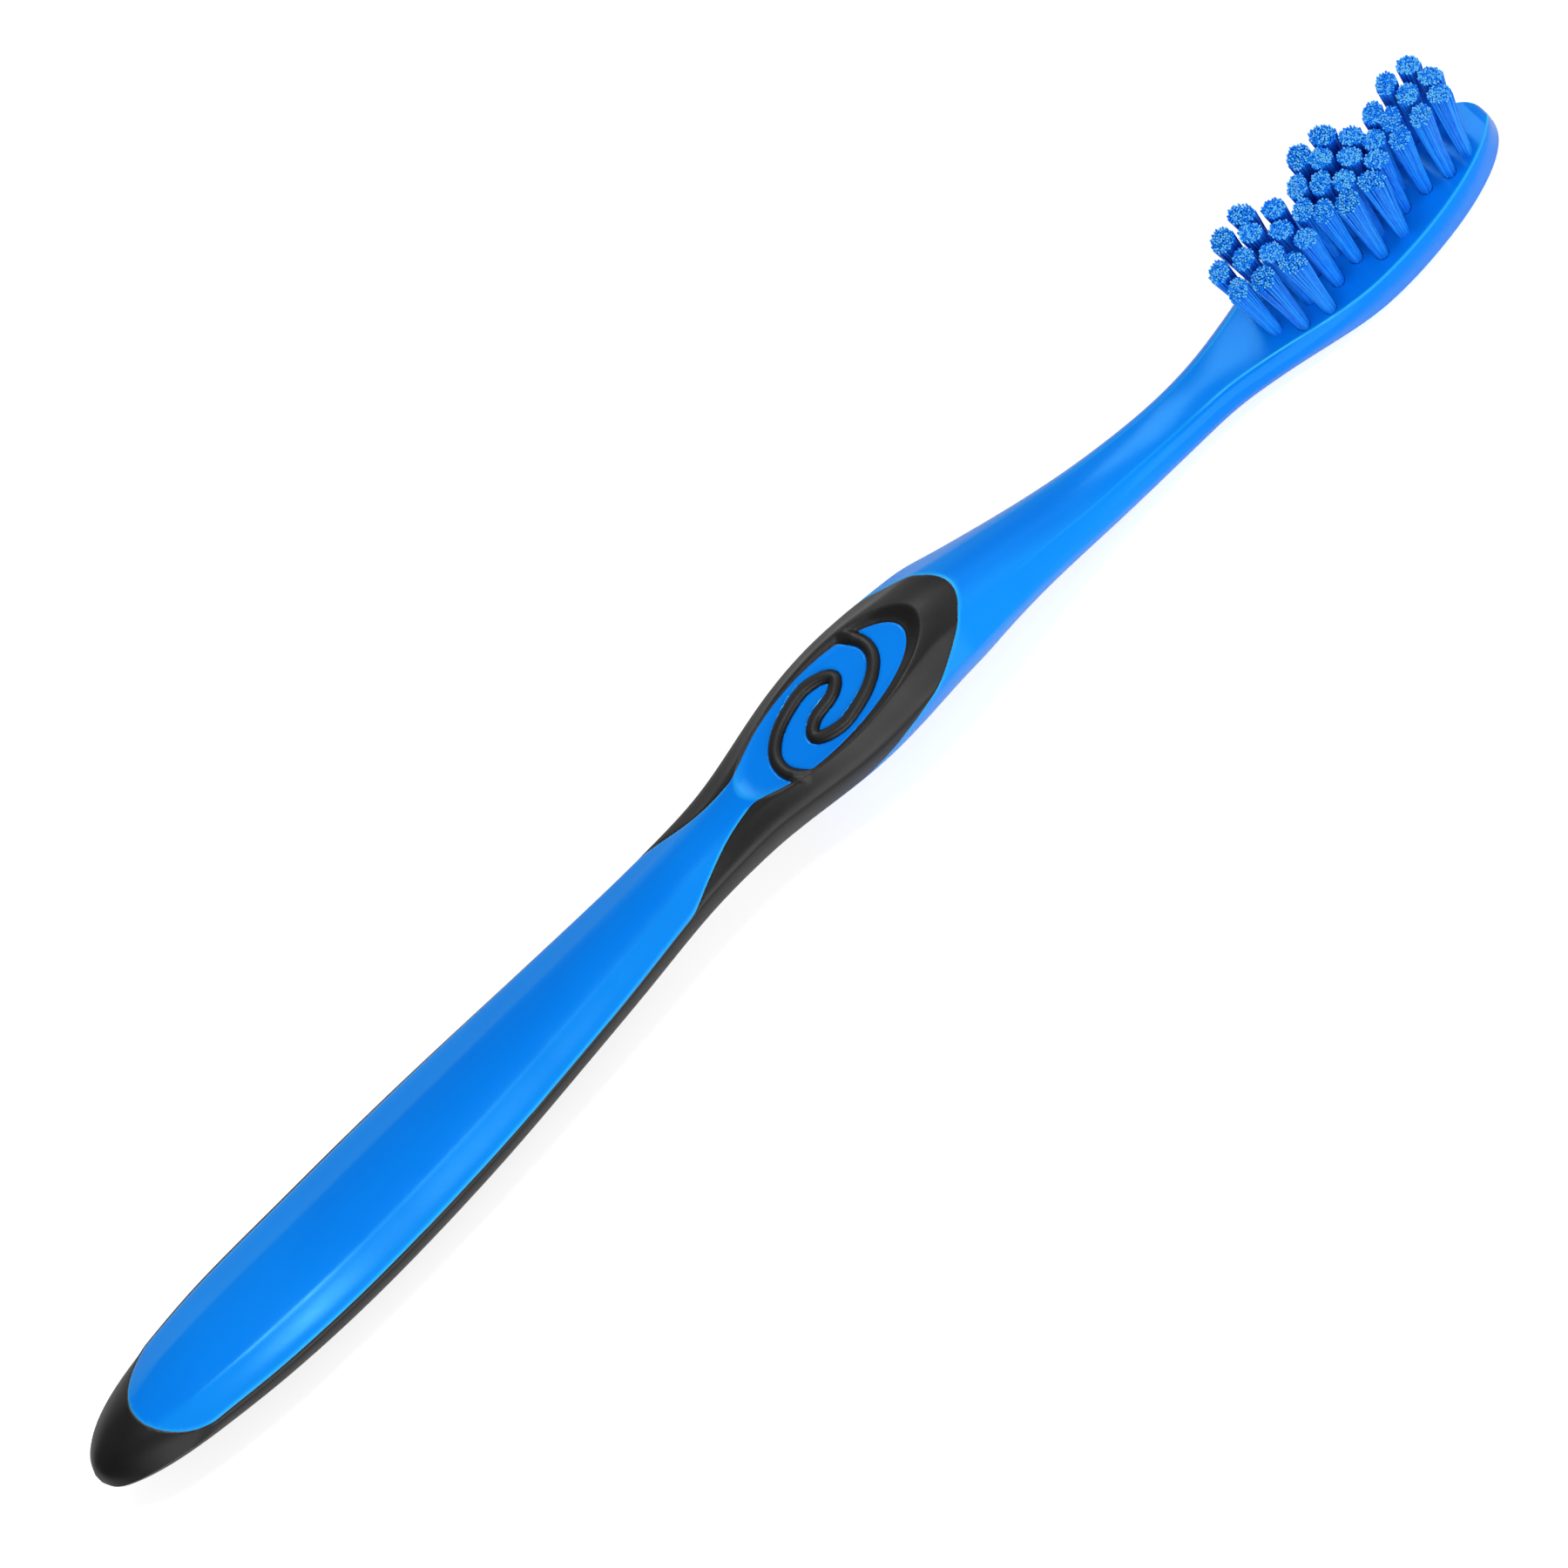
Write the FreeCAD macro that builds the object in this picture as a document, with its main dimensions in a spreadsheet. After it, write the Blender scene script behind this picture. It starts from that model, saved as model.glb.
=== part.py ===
import FreeCAD, Part
import math
import os
from collections import namedtuple

# A manual toothbrush, in millimetres. It lies on its back: the long axis is X with the head at +X, the
# bristles point to +Z, and the back of the head rests on the plane Z = 0. The origin is the middle of the
# bottom of the brush's box.

doc = FreeCAD.newDocument("toothbrush")
sheet = doc.addObject("Spreadsheet::Sheet", "sizes")

SIZES = {
    # stretches along the brush, from the end of the tail to the tip of the head
    "tail_length": 30,  # to the widest place of the handle
    "handle_length": 53,  # from there to the waist
    "thumb_reach": 22,  # from the waist to the widest place of the thumb rest
    "crest_reach": 10,  # from there to the crest in front of the thumb
    "shoulder_length": 33,  # from the crest to the slimmest place of the neck
    "flare_length": 23.5,  # from there to the widest place of the head
    "head_tip_length": 18.2,  # from there to the tip
    # widths, and levels of the front and back above the table
    "tail_tip_width": 1.2,
    "tail_tip_front": 6.25,
    "tail_tip_back": 5.45,
    "belly_width": 14.4,
    "belly_front": 8.6,
    "waist_width": 8.8,
    "waist_front": 10.9,
    "waist_back": 2.85,
    "thumb_width": 13.9,
    "thumb_front": 13.5,
    "thumb_back": 2.4,
    "crest_width": 12.8,
    "crest_front": 13.55,
    "crest_back": 2.43,
    "neck_width": 6.4,
    "neck_thickness": 4.9,
    "head_width": 12.8,
    "head_thickness": 4.6,
    "head_tip_thickness": 1.3,
    "head_tip_width": 0.5,
    "rest_flat_depth": 0.12,  # how much of the rounded back is flattened where the brush rests
    # how far the front bulges above the edges of its facet
    "handle_crown": 0.35,
    "thumb_crown": 0.7,
    "crest_crown": 1.1,
    "neck_crown": 0.15,
    # rubber grip and the blue panel in it
    "grip_side_wall": 1.5,
    "grip_front_wall": 2,
    "grip_tail_wall": 2.8,
    "panel_start": 7,  # from the end of the tail
    "panel_round_length": 11,
    "panel_round_width": 14,
    "panel_border_drop": 1.5,  # how far the colour border lies below the front
    "strip_width": 3.5,
    # oval thumb pad
    "pad_length": 28.4,
    "pad_width": 15.4,
    "pad_centre": 1,  # beyond the widest place of the thumb rest
    "pad_edge_drop": 3.2,  # level of the pad's lower edge, below the front
    "dish_depth": 1.1,
    "dish_length": 21,
    "dish_width": 8.2,
    "dish_centre": 1.6,  # short of the widest place of the thumb rest
    "dish_rise": 1.3,  # how much higher the end near the head lies
    "field_length": 22,
    "field_width": 8.7,
    "field_centre": 2.2,  # short of the widest place of the thumb rest
    # spiral ridge
    "ridge_width": 1.3,
    "ridge_height": 0.45,
    "ridge_root": 0.6,  # how deep it is keyed into the core
    "spiral_length": 14.4,
    "spiral_width": 7.6,
    "spiral_centre": 2.0,  # short of the widest place of the thumb rest
    # bristles
    "hole_depth": 3.2,
    "tuft_root_width": 1.4,
    "tuft_tip_width": 2.1,
    "tuft_clearance": 0.03,
    "tuft_step": 0.2,  # straight stretch above the face before a tuft leans
    "bristle_height": 10.9,
    "trim_wave": 0.9,
    "trim_pitch": 11.1,
    "first_crest": 15.1,  # from the slimmest place of the neck
    "lean_at_neck": -1.2,  # how far the tip of a tuft leans to the head's tip
    "lean_at_tip": 1.7,
    "lean_inwards": 0.1,  # and to the centre line
    # wire anchors
    "anchor_length": 1.8,
    "anchor_height": 1.1,
    "anchor_thickness": 0.25,
    "anchor_lift": 0.3,  # above the bottom of the hole
    # tools that cut
    "overrun": 5,
}
ANCHOR_TURN = 30  # degrees from the brush's axis

for row, (name, value) in enumerate(SIZES.items(), 1):
    sheet.set(f"A{row}", name)
    sheet.set(f"B{row}", str(value))
    sheet.setAlias(f"B{row}", name)
doc.recompute()


def size(name):
    """A driving size, read back from the sheet."""
    return float(getattr(sheet, name))


def blend(start, end, share):
    return start + (end - start) * share


STRETCHES = (
    "tail_length",
    "handle_length",
    "thumb_reach",
    "crest_reach",
    "shoulder_length",
    "flare_length",
    "head_tip_length",
)
total_length = sum(size(name) for name in STRETCHES)
tail_x = -total_length / 2
belly_x = tail_x + size("tail_length")
waist_x = belly_x + size("handle_length")
thumb_x = waist_x + size("thumb_reach")
crest_x = thumb_x + size("crest_reach")
neck_x = crest_x + size("shoulder_length")
head_x = neck_x + size("flare_length")
tip_x = head_x + size("head_tip_length")
back_level = -size("rest_flat_depth")

# Cross sections of the brush's outer skin

FIELDS = "half_width front back crown facet_share widest_share floor_share run_share drop_share reach_share"
Section = namedtuple("Section", FIELDS)

# How each key section is shaped: the half width of its front facet, the depth of its widest level between
# front and back, the half width of its flat back, and three values for the roundness of the shoulder
STYLE_SHARES = {
    "tail_tip": (0.45, 0.45, 0.3, 0.55, 0.42, 0.5),
    "belly": (0.5, 0.235, 0.32, 0.55, 0.42, 0.5),
    "waist": (0.5, 0.225, 0.3, 0.55, 0.42, 0.5),
    "thumb": (0.7, 0.29, 0.32, 0.55, 0.55, 0.4),
    "crest": (0.62, 0.3, 0.32, 0.68, 0.72, 0.15),
    "neck": (0.6, 0.4, 0.4, 0.8, 0.1, 0.15),
    "head": (0.93, 0.35, 0.9, 0.55, 0.42, 0.5),
}


def key_section(style, width, front, back, crown):
    return Section(size(width) / 2, front, back, crown, *STYLE_SHARES[style])


handle_crown = size("handle_crown")
tail_tip = key_section("tail_tip", "tail_tip_width", size("tail_tip_front"), size("tail_tip_back"), 0)
belly = key_section("belly", "belly_width", size("belly_front"), back_level, handle_crown)
waist = key_section("waist", "waist_width", size("waist_front"), size("waist_back"), handle_crown)
thumb = key_section("thumb", "thumb_width", size("thumb_front"), size("thumb_back"), size("thumb_crown"))
crest = key_section("crest", "crest_width", size("crest_front"), size("crest_back"), size("crest_crown"))
neck = key_section("neck", "neck_width", size("neck_thickness"), back_level, size("neck_crown"))
head = key_section("head", "head_width", size("head_thickness"), back_level, 0)
tip_margin = (size("head_thickness") - size("head_tip_thickness")) / 2
head_tip = key_section("head", "head_tip_width", size("head_thickness") - tip_margin, tip_margin, 0)

# Places between two key sections: how far along, and how much of the change in width, front and back is
# done
TAIL_SHARES = (
    (0.02, 0.20, 0.44, 0.19),
    (0.07, 0.40, 0.81, 0.31),
    (0.15, 0.57, 1.12, 0.44),
    (0.28, 0.73, 1.26, 0.59),
    (0.45, 0.85, 1.28, 0.73),
    (0.65, 0.945, 1.2, 0.86),
    (0.83, 0.985, 1.09, 0.95),
)
HANDLE_SHARES = (
    (0.2, 0.02, 0.0, 0.02),
    (0.4, 0.17, 0.08, 0.16),
    (0.6, 0.44, 0.27, 0.41),
    (0.8, 0.74, 0.56, 0.69),
)
THUMB_SHARES = (
    (0.2, 0.02, 0.16, 0.0),
    (0.38, 0.17, 0.44, 0.10),
    (0.55, 0.45, 0.68, 0.3),
    (0.7, 0.71, 0.84, 0.5),
    (0.85, 0.91, 0.94, 0.8),
)
CREST_SHARES = ((0.52, 0.27, 1.6, 1.0),)
SHOULDER_SHARES = (
    (0.088, 0.078, 0.066, -0.02),
    (0.152, 0.19, 0.145, -0.04),
    (0.303, 0.447, 0.341, 0.02),
    (0.452, 0.651, 0.538, 0.26),
    (0.61, 0.806, 0.734, 0.57),
    (0.791, 0.946, 0.89, 0.87),
)
FLARE_SHARES = (
    (0.19, 0.07, 0.25, 1.0),
    (0.34, 0.25, 0.65, 1.0),
    (0.48, 0.46, 0.95, 1.0),
    (0.625, 0.69, 1.0, 1.0),
    (0.77, 0.875, 1.0, 1.0),
    (0.91, 0.98, 1.0, 1.0),
)
TIP_SHARES = (
    (0.342, 0.061, 0.0, 0.0),
    (0.616, 0.222, 0.0, 0.03),
    (0.809, 0.432, 0.0, 0.12),
    (0.921, 0.635, 0.05, 0.3),
    (0.974, 0.8, 0.2, 0.52),
    (0.996, 0.925, 0.55, 0.8),
)


def between(start, end, width_share, front_share, back_share):
    """The section where the given shares of the change from start to end are done."""
    style = [blend(a, b, width_share) for a, b in zip(start[3:], end[3:])]
    return Section(
        blend(start.half_width, end.half_width, width_share),
        blend(start.front, end.front, front_share),
        blend(start.back, end.back, back_share),
        *style,
    )


def stretch(start_x, start, end_x, end, shares):
    """Stations from one key section up to, but without, the next."""
    stations = [(start_x, start)]
    for place, *rest in shares:
        stations.append((blend(start_x, end_x, place), between(start, end, *rest)))
    return stations


stations = (
    stretch(tail_x, tail_tip, belly_x, belly, TAIL_SHARES)
    + stretch(belly_x, belly, waist_x, waist, HANDLE_SHARES)
    + stretch(waist_x, waist, thumb_x, thumb, THUMB_SHARES)
    + stretch(thumb_x, thumb, crest_x, crest, CREST_SHARES)
    + stretch(crest_x, crest, neck_x, neck, SHOULDER_SHARES)
    + stretch(neck_x, neck, head_x, head, FLARE_SHARES)
    + stretch(head_x, head, tip_x, head_tip, TIP_SHARES)
    + [(tip_x, head_tip)]
)


def bezier(*points):
    curve = Part.BezierCurve()
    curve.setPoles([FreeCAD.Vector(*point) for point in points])
    return curve.toShape()


# How the corner below the widest level is rounded
CORNER_REACH_SHARE = 0.37
CORNER_RUN_SHARE = 0.33


def section_wire(x, section):
    """A closed outline across the brush: crowned front facet, two shoulders, two lower corners, flat back."""
    side = section.half_width
    facet = side * section.facet_share
    floor = side * section.floor_share
    widest = blend(section.front, section.back, section.widest_share)
    edge = section.front - section.crown
    run = blend(facet, side, section.run_share)
    drop = blend(edge, widest, section.drop_share)
    reach = blend(widest, edge, section.reach_share)
    low = blend(widest, section.back, CORNER_REACH_SHARE)
    inner = blend(floor, side, CORNER_RUN_SHARE)
    bottom = section.back
    front = bezier((x, -facet, edge), (x, 0, section.front + section.crown), (x, facet, edge))
    right = bezier((x, facet, edge), (x, run, drop), (x, side, reach), (x, side, widest))
    lower_right = bezier((x, side, widest), (x, side, low), (x, inner, bottom), (x, floor, bottom))
    back = Part.makeLine((x, floor, bottom), (x, -floor, bottom))
    lower_left = bezier((x, -floor, bottom), (x, -inner, bottom), (x, -side, low), (x, -side, widest))
    left = bezier((x, -side, widest), (x, -side, reach), (x, -run, drop), (x, -facet, edge))
    return Part.Wire([front, right, lower_right, back, lower_left, left])


def feature(name, shape):
    """A document object that holds a shape made from the sheet's sizes."""
    item = doc.addObject("Part::Feature", name)
    item.Shape = shape
    return item


def skin_loft(name, chosen, inset=None):
    """A closed skin through stations, or one set in from them by (side, front, back) walls."""
    wires = []
    for number, (x, section) in enumerate(chosen, 1):
        if inset:
            side_wall, front_wall, back_wall = inset
            section = section._replace(
                half_width=section.half_width - side_wall,
                front=section.front - front_wall,
                back=section.back + back_wall,
            )
        wires.append(feature(f"{name}_section_{number:02d}", section_wire(x, section)))
    loft = doc.addObject("Part::Loft", name)
    loft.Sections = wires
    loft.Solid = True
    return loft


def boolean(kind, name, base, tool):
    item = doc.addObject(f"Part::{kind}", name)
    item.Base = base
    item.Tool = tool
    return item


def fused(name, items):
    item = doc.addObject("Part::MultiFuse", name)
    item.Shapes = items
    return item


def raised(name, face, level, height):
    """A plan outline at a level, raised by a height that follows the sheet."""
    outline = feature(f"{name}_outline", face)
    outline.Placement.Base.z = level
    item = doc.addObject("Part::Extrusion", name)
    item.Base = outline
    item.DirMode = "Custom"
    item.Dir = FreeCAD.Vector(0, 0, 1)
    item.setExpression("LengthFwd", height)
    item.Solid = True
    return item


def across(name, face):
    """A side-view outline carried across the whole width of the brush."""
    outline = feature(f"{name}_outline", face)
    item = doc.addObject("Part::Extrusion", name)
    item.Base = outline
    item.DirMode = "Custom"
    item.Dir = FreeCAD.Vector(0, 1, 0)
    item.setExpression("LengthFwd", "sizes.belly_width + 2 * sizes.overrun")
    item.Symmetric = True
    item.Solid = True
    return item


def smooth(points):
    curve = Part.BSplineCurve()
    curve.interpolate([FreeCAD.Vector(*point) for point in points])
    return curve.toShape()


def closed_face(*edges):
    return Part.Face(Part.Wire(Part.__sortEdges__(list(edges))))


def oval_face(centre_x, length, width):
    ellipse = Part.Ellipse(FreeCAD.Vector(centre_x, 0, 0), length / 2, width / 2)
    return Part.Face(Part.Wire(ellipse.toShape()))


ceiling = size("thumb_front") + size("overrun")


def above_line(name, line):
    """Everything above a side-view line across the whole width of the brush."""
    start, end = line[0], line[-1]
    top_start = (start[0], 0, ceiling)
    top_end = (end[0], 0, ceiling)
    edges = [
        smooth(line),
        Part.makeLine(end, top_end),
        Part.makeLine(top_end, top_start),
        Part.makeLine(top_start, start),
    ]
    return across(name, closed_face(*edges))


# Outer skin, flattened where it rests on the table

rounded_skin = skin_loft("rounded_skin", stations)
table = doc.addObject("Part::Box", "table")
TOTAL_LENGTH = " + ".join(f"sizes.{name}" for name in STRETCHES)
table.setExpression("Length", f"{TOTAL_LENGTH} + 2 * sizes.overrun")
table.setExpression("Width", "sizes.belly_width + 2 * sizes.overrun")
table.setExpression("Height", "sizes.overrun")
table.Placement.Base = FreeCAD.Vector(
    tail_x - size("overrun"), -size("belly_width") / 2 - size("overrun"), -size("overrun")
)
rested_skin = boolean("Cut", "rested_skin", rounded_skin, table)

# Dish of the thumb rest: an oval that climbs towards the head, with a wide sloping rim and a hollow floor

WALL_RUN_SHARE = 4.6  # how far the dish's rim leans out for each millimetre that it rises
RIM_SHARES = (-0.32, 2.3)  # how far the rim is drawn below and above the oval, in depths of the dish
# The floor: how far along the dish, and how far below the thumb rest's front in depths of the dish
FLOOR_SHARES = (
    (-0.2, 1.68),
    (0.0, 1.52),
    (0.15, 1.38),
    (0.33, 1.2),
    (0.5, 1.045),
    (0.7, 0.82),
    (0.85, 0.59),
    (1.0, 0.36),
    (1.2, 0.05),
)
dish_x = thumb_x - size("dish_centre")
dish_start = dish_x - size("dish_length") / 2
dish_end = dish_x + size("dish_length") / 2
dish_level = size("thumb_front") - size("dish_depth")
dish_tilt = math.degrees(math.atan2(size("dish_rise"), size("dish_length")))


def dish_oval(rise):
    """The dish's tilted outline where its rim has risen so far."""
    run = 2 * WALL_RUN_SHARE * rise
    outline = oval_face(0, size("dish_length") + run, size("dish_width") + run).OuterWire
    middle = FreeCAD.Vector(dish_x, 0, dish_level + rise)
    outline.Placement = FreeCAD.Placement(middle, FreeCAD.Rotation(FreeCAD.Vector(0, -1, 0), dish_tilt))
    return outline


def above_floor(name, lift):
    """Everything above the dish's floor, or above the same line lifted."""
    line = []
    for place, drop in FLOOR_SHARES:
        level = size("thumb_front") - size("dish_depth") * drop + lift
        line.append((blend(dish_start, dish_end, place), 0, level))
    return above_line(name, line)


def dish_tool(name, lift):
    """What the dish takes away, or the same lifted."""
    rim = Part.makeLoft([dish_oval(size("dish_depth") * share) for share in RIM_SHARES], True)
    cone = feature(f"{name}_rim", rim)
    cone.Placement.Base.z = lift
    return boolean("Common", name, cone, above_floor(f"{name}_floor", lift))


skin = boolean("Cut", "skin", rested_skin, dish_tool("dish", 0))
ridge_skin = boolean("Cut", "ridge_skin", rested_skin, dish_tool("lifted_dish", size("ridge_height")))

# Where the hard core is: the rib inside the grip, the front panel, the neck with the head, and the field of
# the thumb pad

RIB_REACH_SHARE = 0.6  # how far to the neck the rib goes on
walls = (size("grip_side_wall"), size("grip_front_wall"), size("grip_side_wall"))
rib_start = tail_x + size("grip_tail_wall")
rib_end = blend(thumb_x, neck_x, RIB_REACH_SHARE)
inner_rib = skin_loft("inner_rib", [s for s in stations if rib_start <= s[0] <= rib_end], walls)

# The strip that leads from the panel to the thumb rest: how far along from the handle to the waist and on to
# the thumb rest, and its half width in halves of the waist
FLARE_END_SHARE = 0.7  # how far along from the handle to the waist the panel is wider than the handle
STRIP_SHARES = ((0.78, 1.75), (0.9, 1.2), (0.97, 0.9))
STRIP_END_SHARES = ((0.08, 0.64), (0.24, 0.45))
STRIP_EVEN_SHARE = 0.4  # where on the way to the thumb rest the strip has its own width
STRIP_REACH_SHARE = 0.5  # and where it ends
half_waist = size("waist_width") / 2
half_strip = size("strip_width") / 2
half_belly = size("belly_width") / 2 + size("overrun")
strip_end = blend(waist_x, thumb_x, STRIP_REACH_SHARE)


def panel_face():
    """Plan of the front panel: a round end at the tail, wider than the handle, then the narrowing strip."""
    round_x = tail_x + size("panel_start") + size("panel_round_length")
    half_round = size("panel_round_width") / 2
    edges = []
    ellipse = Part.Ellipse(FreeCAD.Vector(round_x, 0, 0), size("panel_round_length"), half_round)
    edges.append(Part.ArcOfEllipse(ellipse, math.pi / 2, 3 * math.pi / 2).toShape())
    for side in (1, -1):
        half = side * half_waist
        narrow = [(blend(belly_x, waist_x, place), half * wide, 0) for place, wide in STRIP_SHARES]
        narrow += [(blend(waist_x, thumb_x, place), half * wide, 0) for place, wide in STRIP_END_SHARES]
        narrow.append((blend(waist_x, thumb_x, STRIP_EVEN_SHARE), side * half_strip, 0))
        flare_start = (belly_x, side * half_belly, 0)
        flare_end = (blend(belly_x, waist_x, FLARE_END_SHARE), side * half_belly, 0)
        edges.append(Part.makeLine((round_x, side * half_round, 0), flare_start))
        edges.append(Part.makeLine(flare_start, flare_end))
        edges.append(Part.makeLine(flare_end, narrow[0]))
        edges.append(smooth(narrow))
        edges.append(Part.makeLine(narrow[-1], (strip_end, side * half_strip, 0)))
    edges.append(Part.makeLine((strip_end, half_strip, 0), (strip_end, -half_strip, 0)))
    return closed_face(*edges)


HIGH = "sizes.thumb_front + 2 * sizes.overrun"
panel_plan = raised("panel_plan", panel_face(), 0, HIGH)
border = [(x, 0, section.front - size("panel_border_drop")) for x, section in stations]
panel_side = above_line("panel_side", [point for point in border if rib_start <= point[0] <= thumb_x])
panel = boolean("Common", "panel", panel_plan, panel_side)

# Lower edge of the thumb pad, seen from the side: how far along from the waist to the slimmest place of the
# neck, and how far up from the back to the pad's lower edge
PAD_EDGE_SHARES = (
    (0.17, 0.0),
    (0.23, 0.38),
    (0.3, 0.73),
    (0.38, 0.92),
    (0.44, 1.0),
    (0.5, 1.08),
    (0.55, 1.14),
)
pad_level = size("thumb_front") - size("pad_edge_drop")
pad_x = thumb_x + size("pad_centre")
beyond_x = tip_x + size("overrun")


def neck_side_face():
    edge = [(blend(waist_x, neck_x, place), 0, pad_level * up) for place, up in PAD_EDGE_SHARES]
    start, end = edge[0], edge[-1]
    under_start = (start[0], 0, -size("overrun"))
    under_end = (beyond_x, 0, -size("overrun"))
    top_end = (beyond_x, 0, end[2])
    return closed_face(
        smooth(edge),
        Part.makeLine(end, top_end),
        Part.makeLine(top_end, under_end),
        Part.makeLine(under_end, under_start),
        Part.makeLine(under_start, start),
    )


def neck_plan_face():
    corners = [(pad_x, -half_belly), (beyond_x, -half_belly), (beyond_x, half_belly), (pad_x, half_belly)]
    frame = Part.makePolygon([FreeCAD.Vector(x, y, 0) for x, y in corners + corners[:1]])
    return Part.Face(frame).cut(oval_face(pad_x, size("pad_length"), size("pad_width"))).Faces[0]


neck_side = across("neck_side", neck_side_face())
neck_plan = raised("neck_plan", neck_plan_face(), 0, HIGH)
field_x = thumb_x - size("field_centre")
field_level = size("waist_front") - size("grip_front_wall")
field = raised("field", oval_face(field_x, size("field_length"), size("field_width")), field_level, HIGH)
hard_space = fused("hard_space", [inner_rib, panel, neck_side, neck_plan, field])

# Spiral ridge: one arm from its middle outwards in shares of half its length and width, and the other arm is
# the same turned half a round. The first step is straight, the rest are arcs through three points.

ARM_SHARES = (
    (0.0, 0.0),
    (0.2, 0.075),
    (0.372, 0.375),
    (0.081, 0.745),
    (-0.287, 0.715),
    (-0.575, 0.55),
    (-0.81, 0.29),
    (-0.955, -0.04),
    (-0.985, -0.5),
    (-0.79, -1.13),
)
spiral_x = thumb_x - size("spiral_centre")


def spiral_point(share_x, share_y, turn):
    x = spiral_x + turn * share_x * size("spiral_length") / 2
    return FreeCAD.Vector(x, turn * share_y * size("spiral_width") / 2, 0)


def band_along_line(start, end):
    half = size("ridge_width") / 2
    along = (end - start).normalize()
    across_it = FreeCAD.Vector(-along.y, along.x, 0) * half
    corners = [start - across_it, end - across_it, end + across_it, start + across_it]
    return Part.Face(Part.makePolygon(corners + corners[:1]))


def band_along_arc(start, middle, end):
    half = size("ridge_width") / 2
    circle = Part.Arc(start, middle, end).toShape().Curve
    centre, radius = circle.Center, circle.Radius
    rims = []
    for rim in (radius + half, radius - half):
        rims.append([centre + (point - centre) * (rim / radius) for point in (start, middle, end)])
    outer, inner = rims
    edges = [Part.Arc(*outer).toShape(), Part.Arc(*inner).toShape()]
    edges += [Part.makeLine(outer[0], inner[0]), Part.makeLine(outer[2], inner[2])]
    return closed_face(*edges)


def spiral_face():
    pieces = []
    for turn in (1, -1):
        points = [spiral_point(x, y, turn) for x, y in ARM_SHARES]
        pieces.append(band_along_line(points[0], points[1]))
        for place in range(1, len(points) - 1, 2):
            pieces.append(band_along_arc(*points[place:place + 3]))
            disc = Part.makeCircle(size("ridge_width") / 2, points[place])
            pieces.append(Part.Face(Part.Wire(disc)))
    return pieces[0].multiFuse(pieces[1:]).removeSplitter().Faces[0]


ridge_plan = raised("ridge_plan", spiral_face(), 0, HIGH)
ridge_above = above_floor("ridge_above", -size("ridge_root"))
ridge_column = boolean("Common", "ridge_column", ridge_plan, ridge_above)
ridge = boolean("Common", "ridge", ridge_skin, ridge_column)

# Rubber grip: the skin with the ridge on it, less all of the core's space but the ridge's key

ridged_skin = fused("ridged_skin", [skin, ridge])
ridged_skin.Refine = False
core_space = boolean("Cut", "core_space", hard_space, ridge_column)
grip = boolean("Cut", "grip_overmould", ridged_skin, core_space)

# Bristle tufts. Places of their roots: how far along the head from the slimmest place of the neck, and how
# far out to the side of the head

PAIR_SHARES = (
    (0.29, 0.24),
    (0.344, 0.51),
    (0.398, 0.27),
    (0.414, 0.635),
    (0.473, 0.4),
    (0.542, 0.335),
    (0.59, 0.605),
    (0.62, 0.3),
    (0.66, 0.605),
    (0.703, 0.32),
    (0.771, 0.34),
    (0.836, 0.43),
    (0.898, 0.39),
)
CENTRE_SHARES = (0.346, 0.45, 0.514, 0.581, 0.667, 0.731, 0.788, 0.85, 0.914)
face_level = size("head_thickness")
floor_level = face_level - size("hole_depth")
head_reach = tip_x - neck_x
TRIM_STEPS = 8  # points of the trimmed wave on each pitch


def trim_level(x):
    """Height of the trimmed bristle tips."""
    turn = 2 * math.pi * (x - neck_x - size("first_crest")) / size("trim_pitch")
    return face_level + size("bristle_height") + size("trim_wave") * math.cos(turn)


def trim_face():
    """Everything below the wave that the bristle tips are trimmed to, seen from the side."""
    pitches = math.ceil((head_reach + size("overrun")) / size("trim_pitch"))
    steps = pitches * TRIM_STEPS
    xs = [neck_x + size("trim_pitch") * step / TRIM_STEPS for step in range(steps + 1)]
    line = [(x, 0, trim_level(x)) for x in xs]
    low_start = (xs[0], 0, 0)
    low_end = (xs[-1], 0, 0)
    return closed_face(
        smooth(line),
        Part.makeLine(line[-1], low_end),
        Part.makeLine(low_end, low_start),
        Part.makeLine(low_start, line[0]),
    )


trim = across("trim", trim_face())

ROOT_RADIUS = "sizes.tuft_root_width / 2"
TOP_RADIUS = (
    "sizes.tuft_root_width / 2 + (sizes.tuft_tip_width - sizes.tuft_root_width) / 2 "
    "* (sizes.bristle_height + sizes.overrun) / sizes.bristle_height"
)


def ring(name, x, y, level, radius):
    item = doc.addObject("Part::Circle", name)
    item.setExpression("Radius", radius)
    item.Placement.Base = FreeCAD.Vector(x, y, level)
    return item


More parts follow.
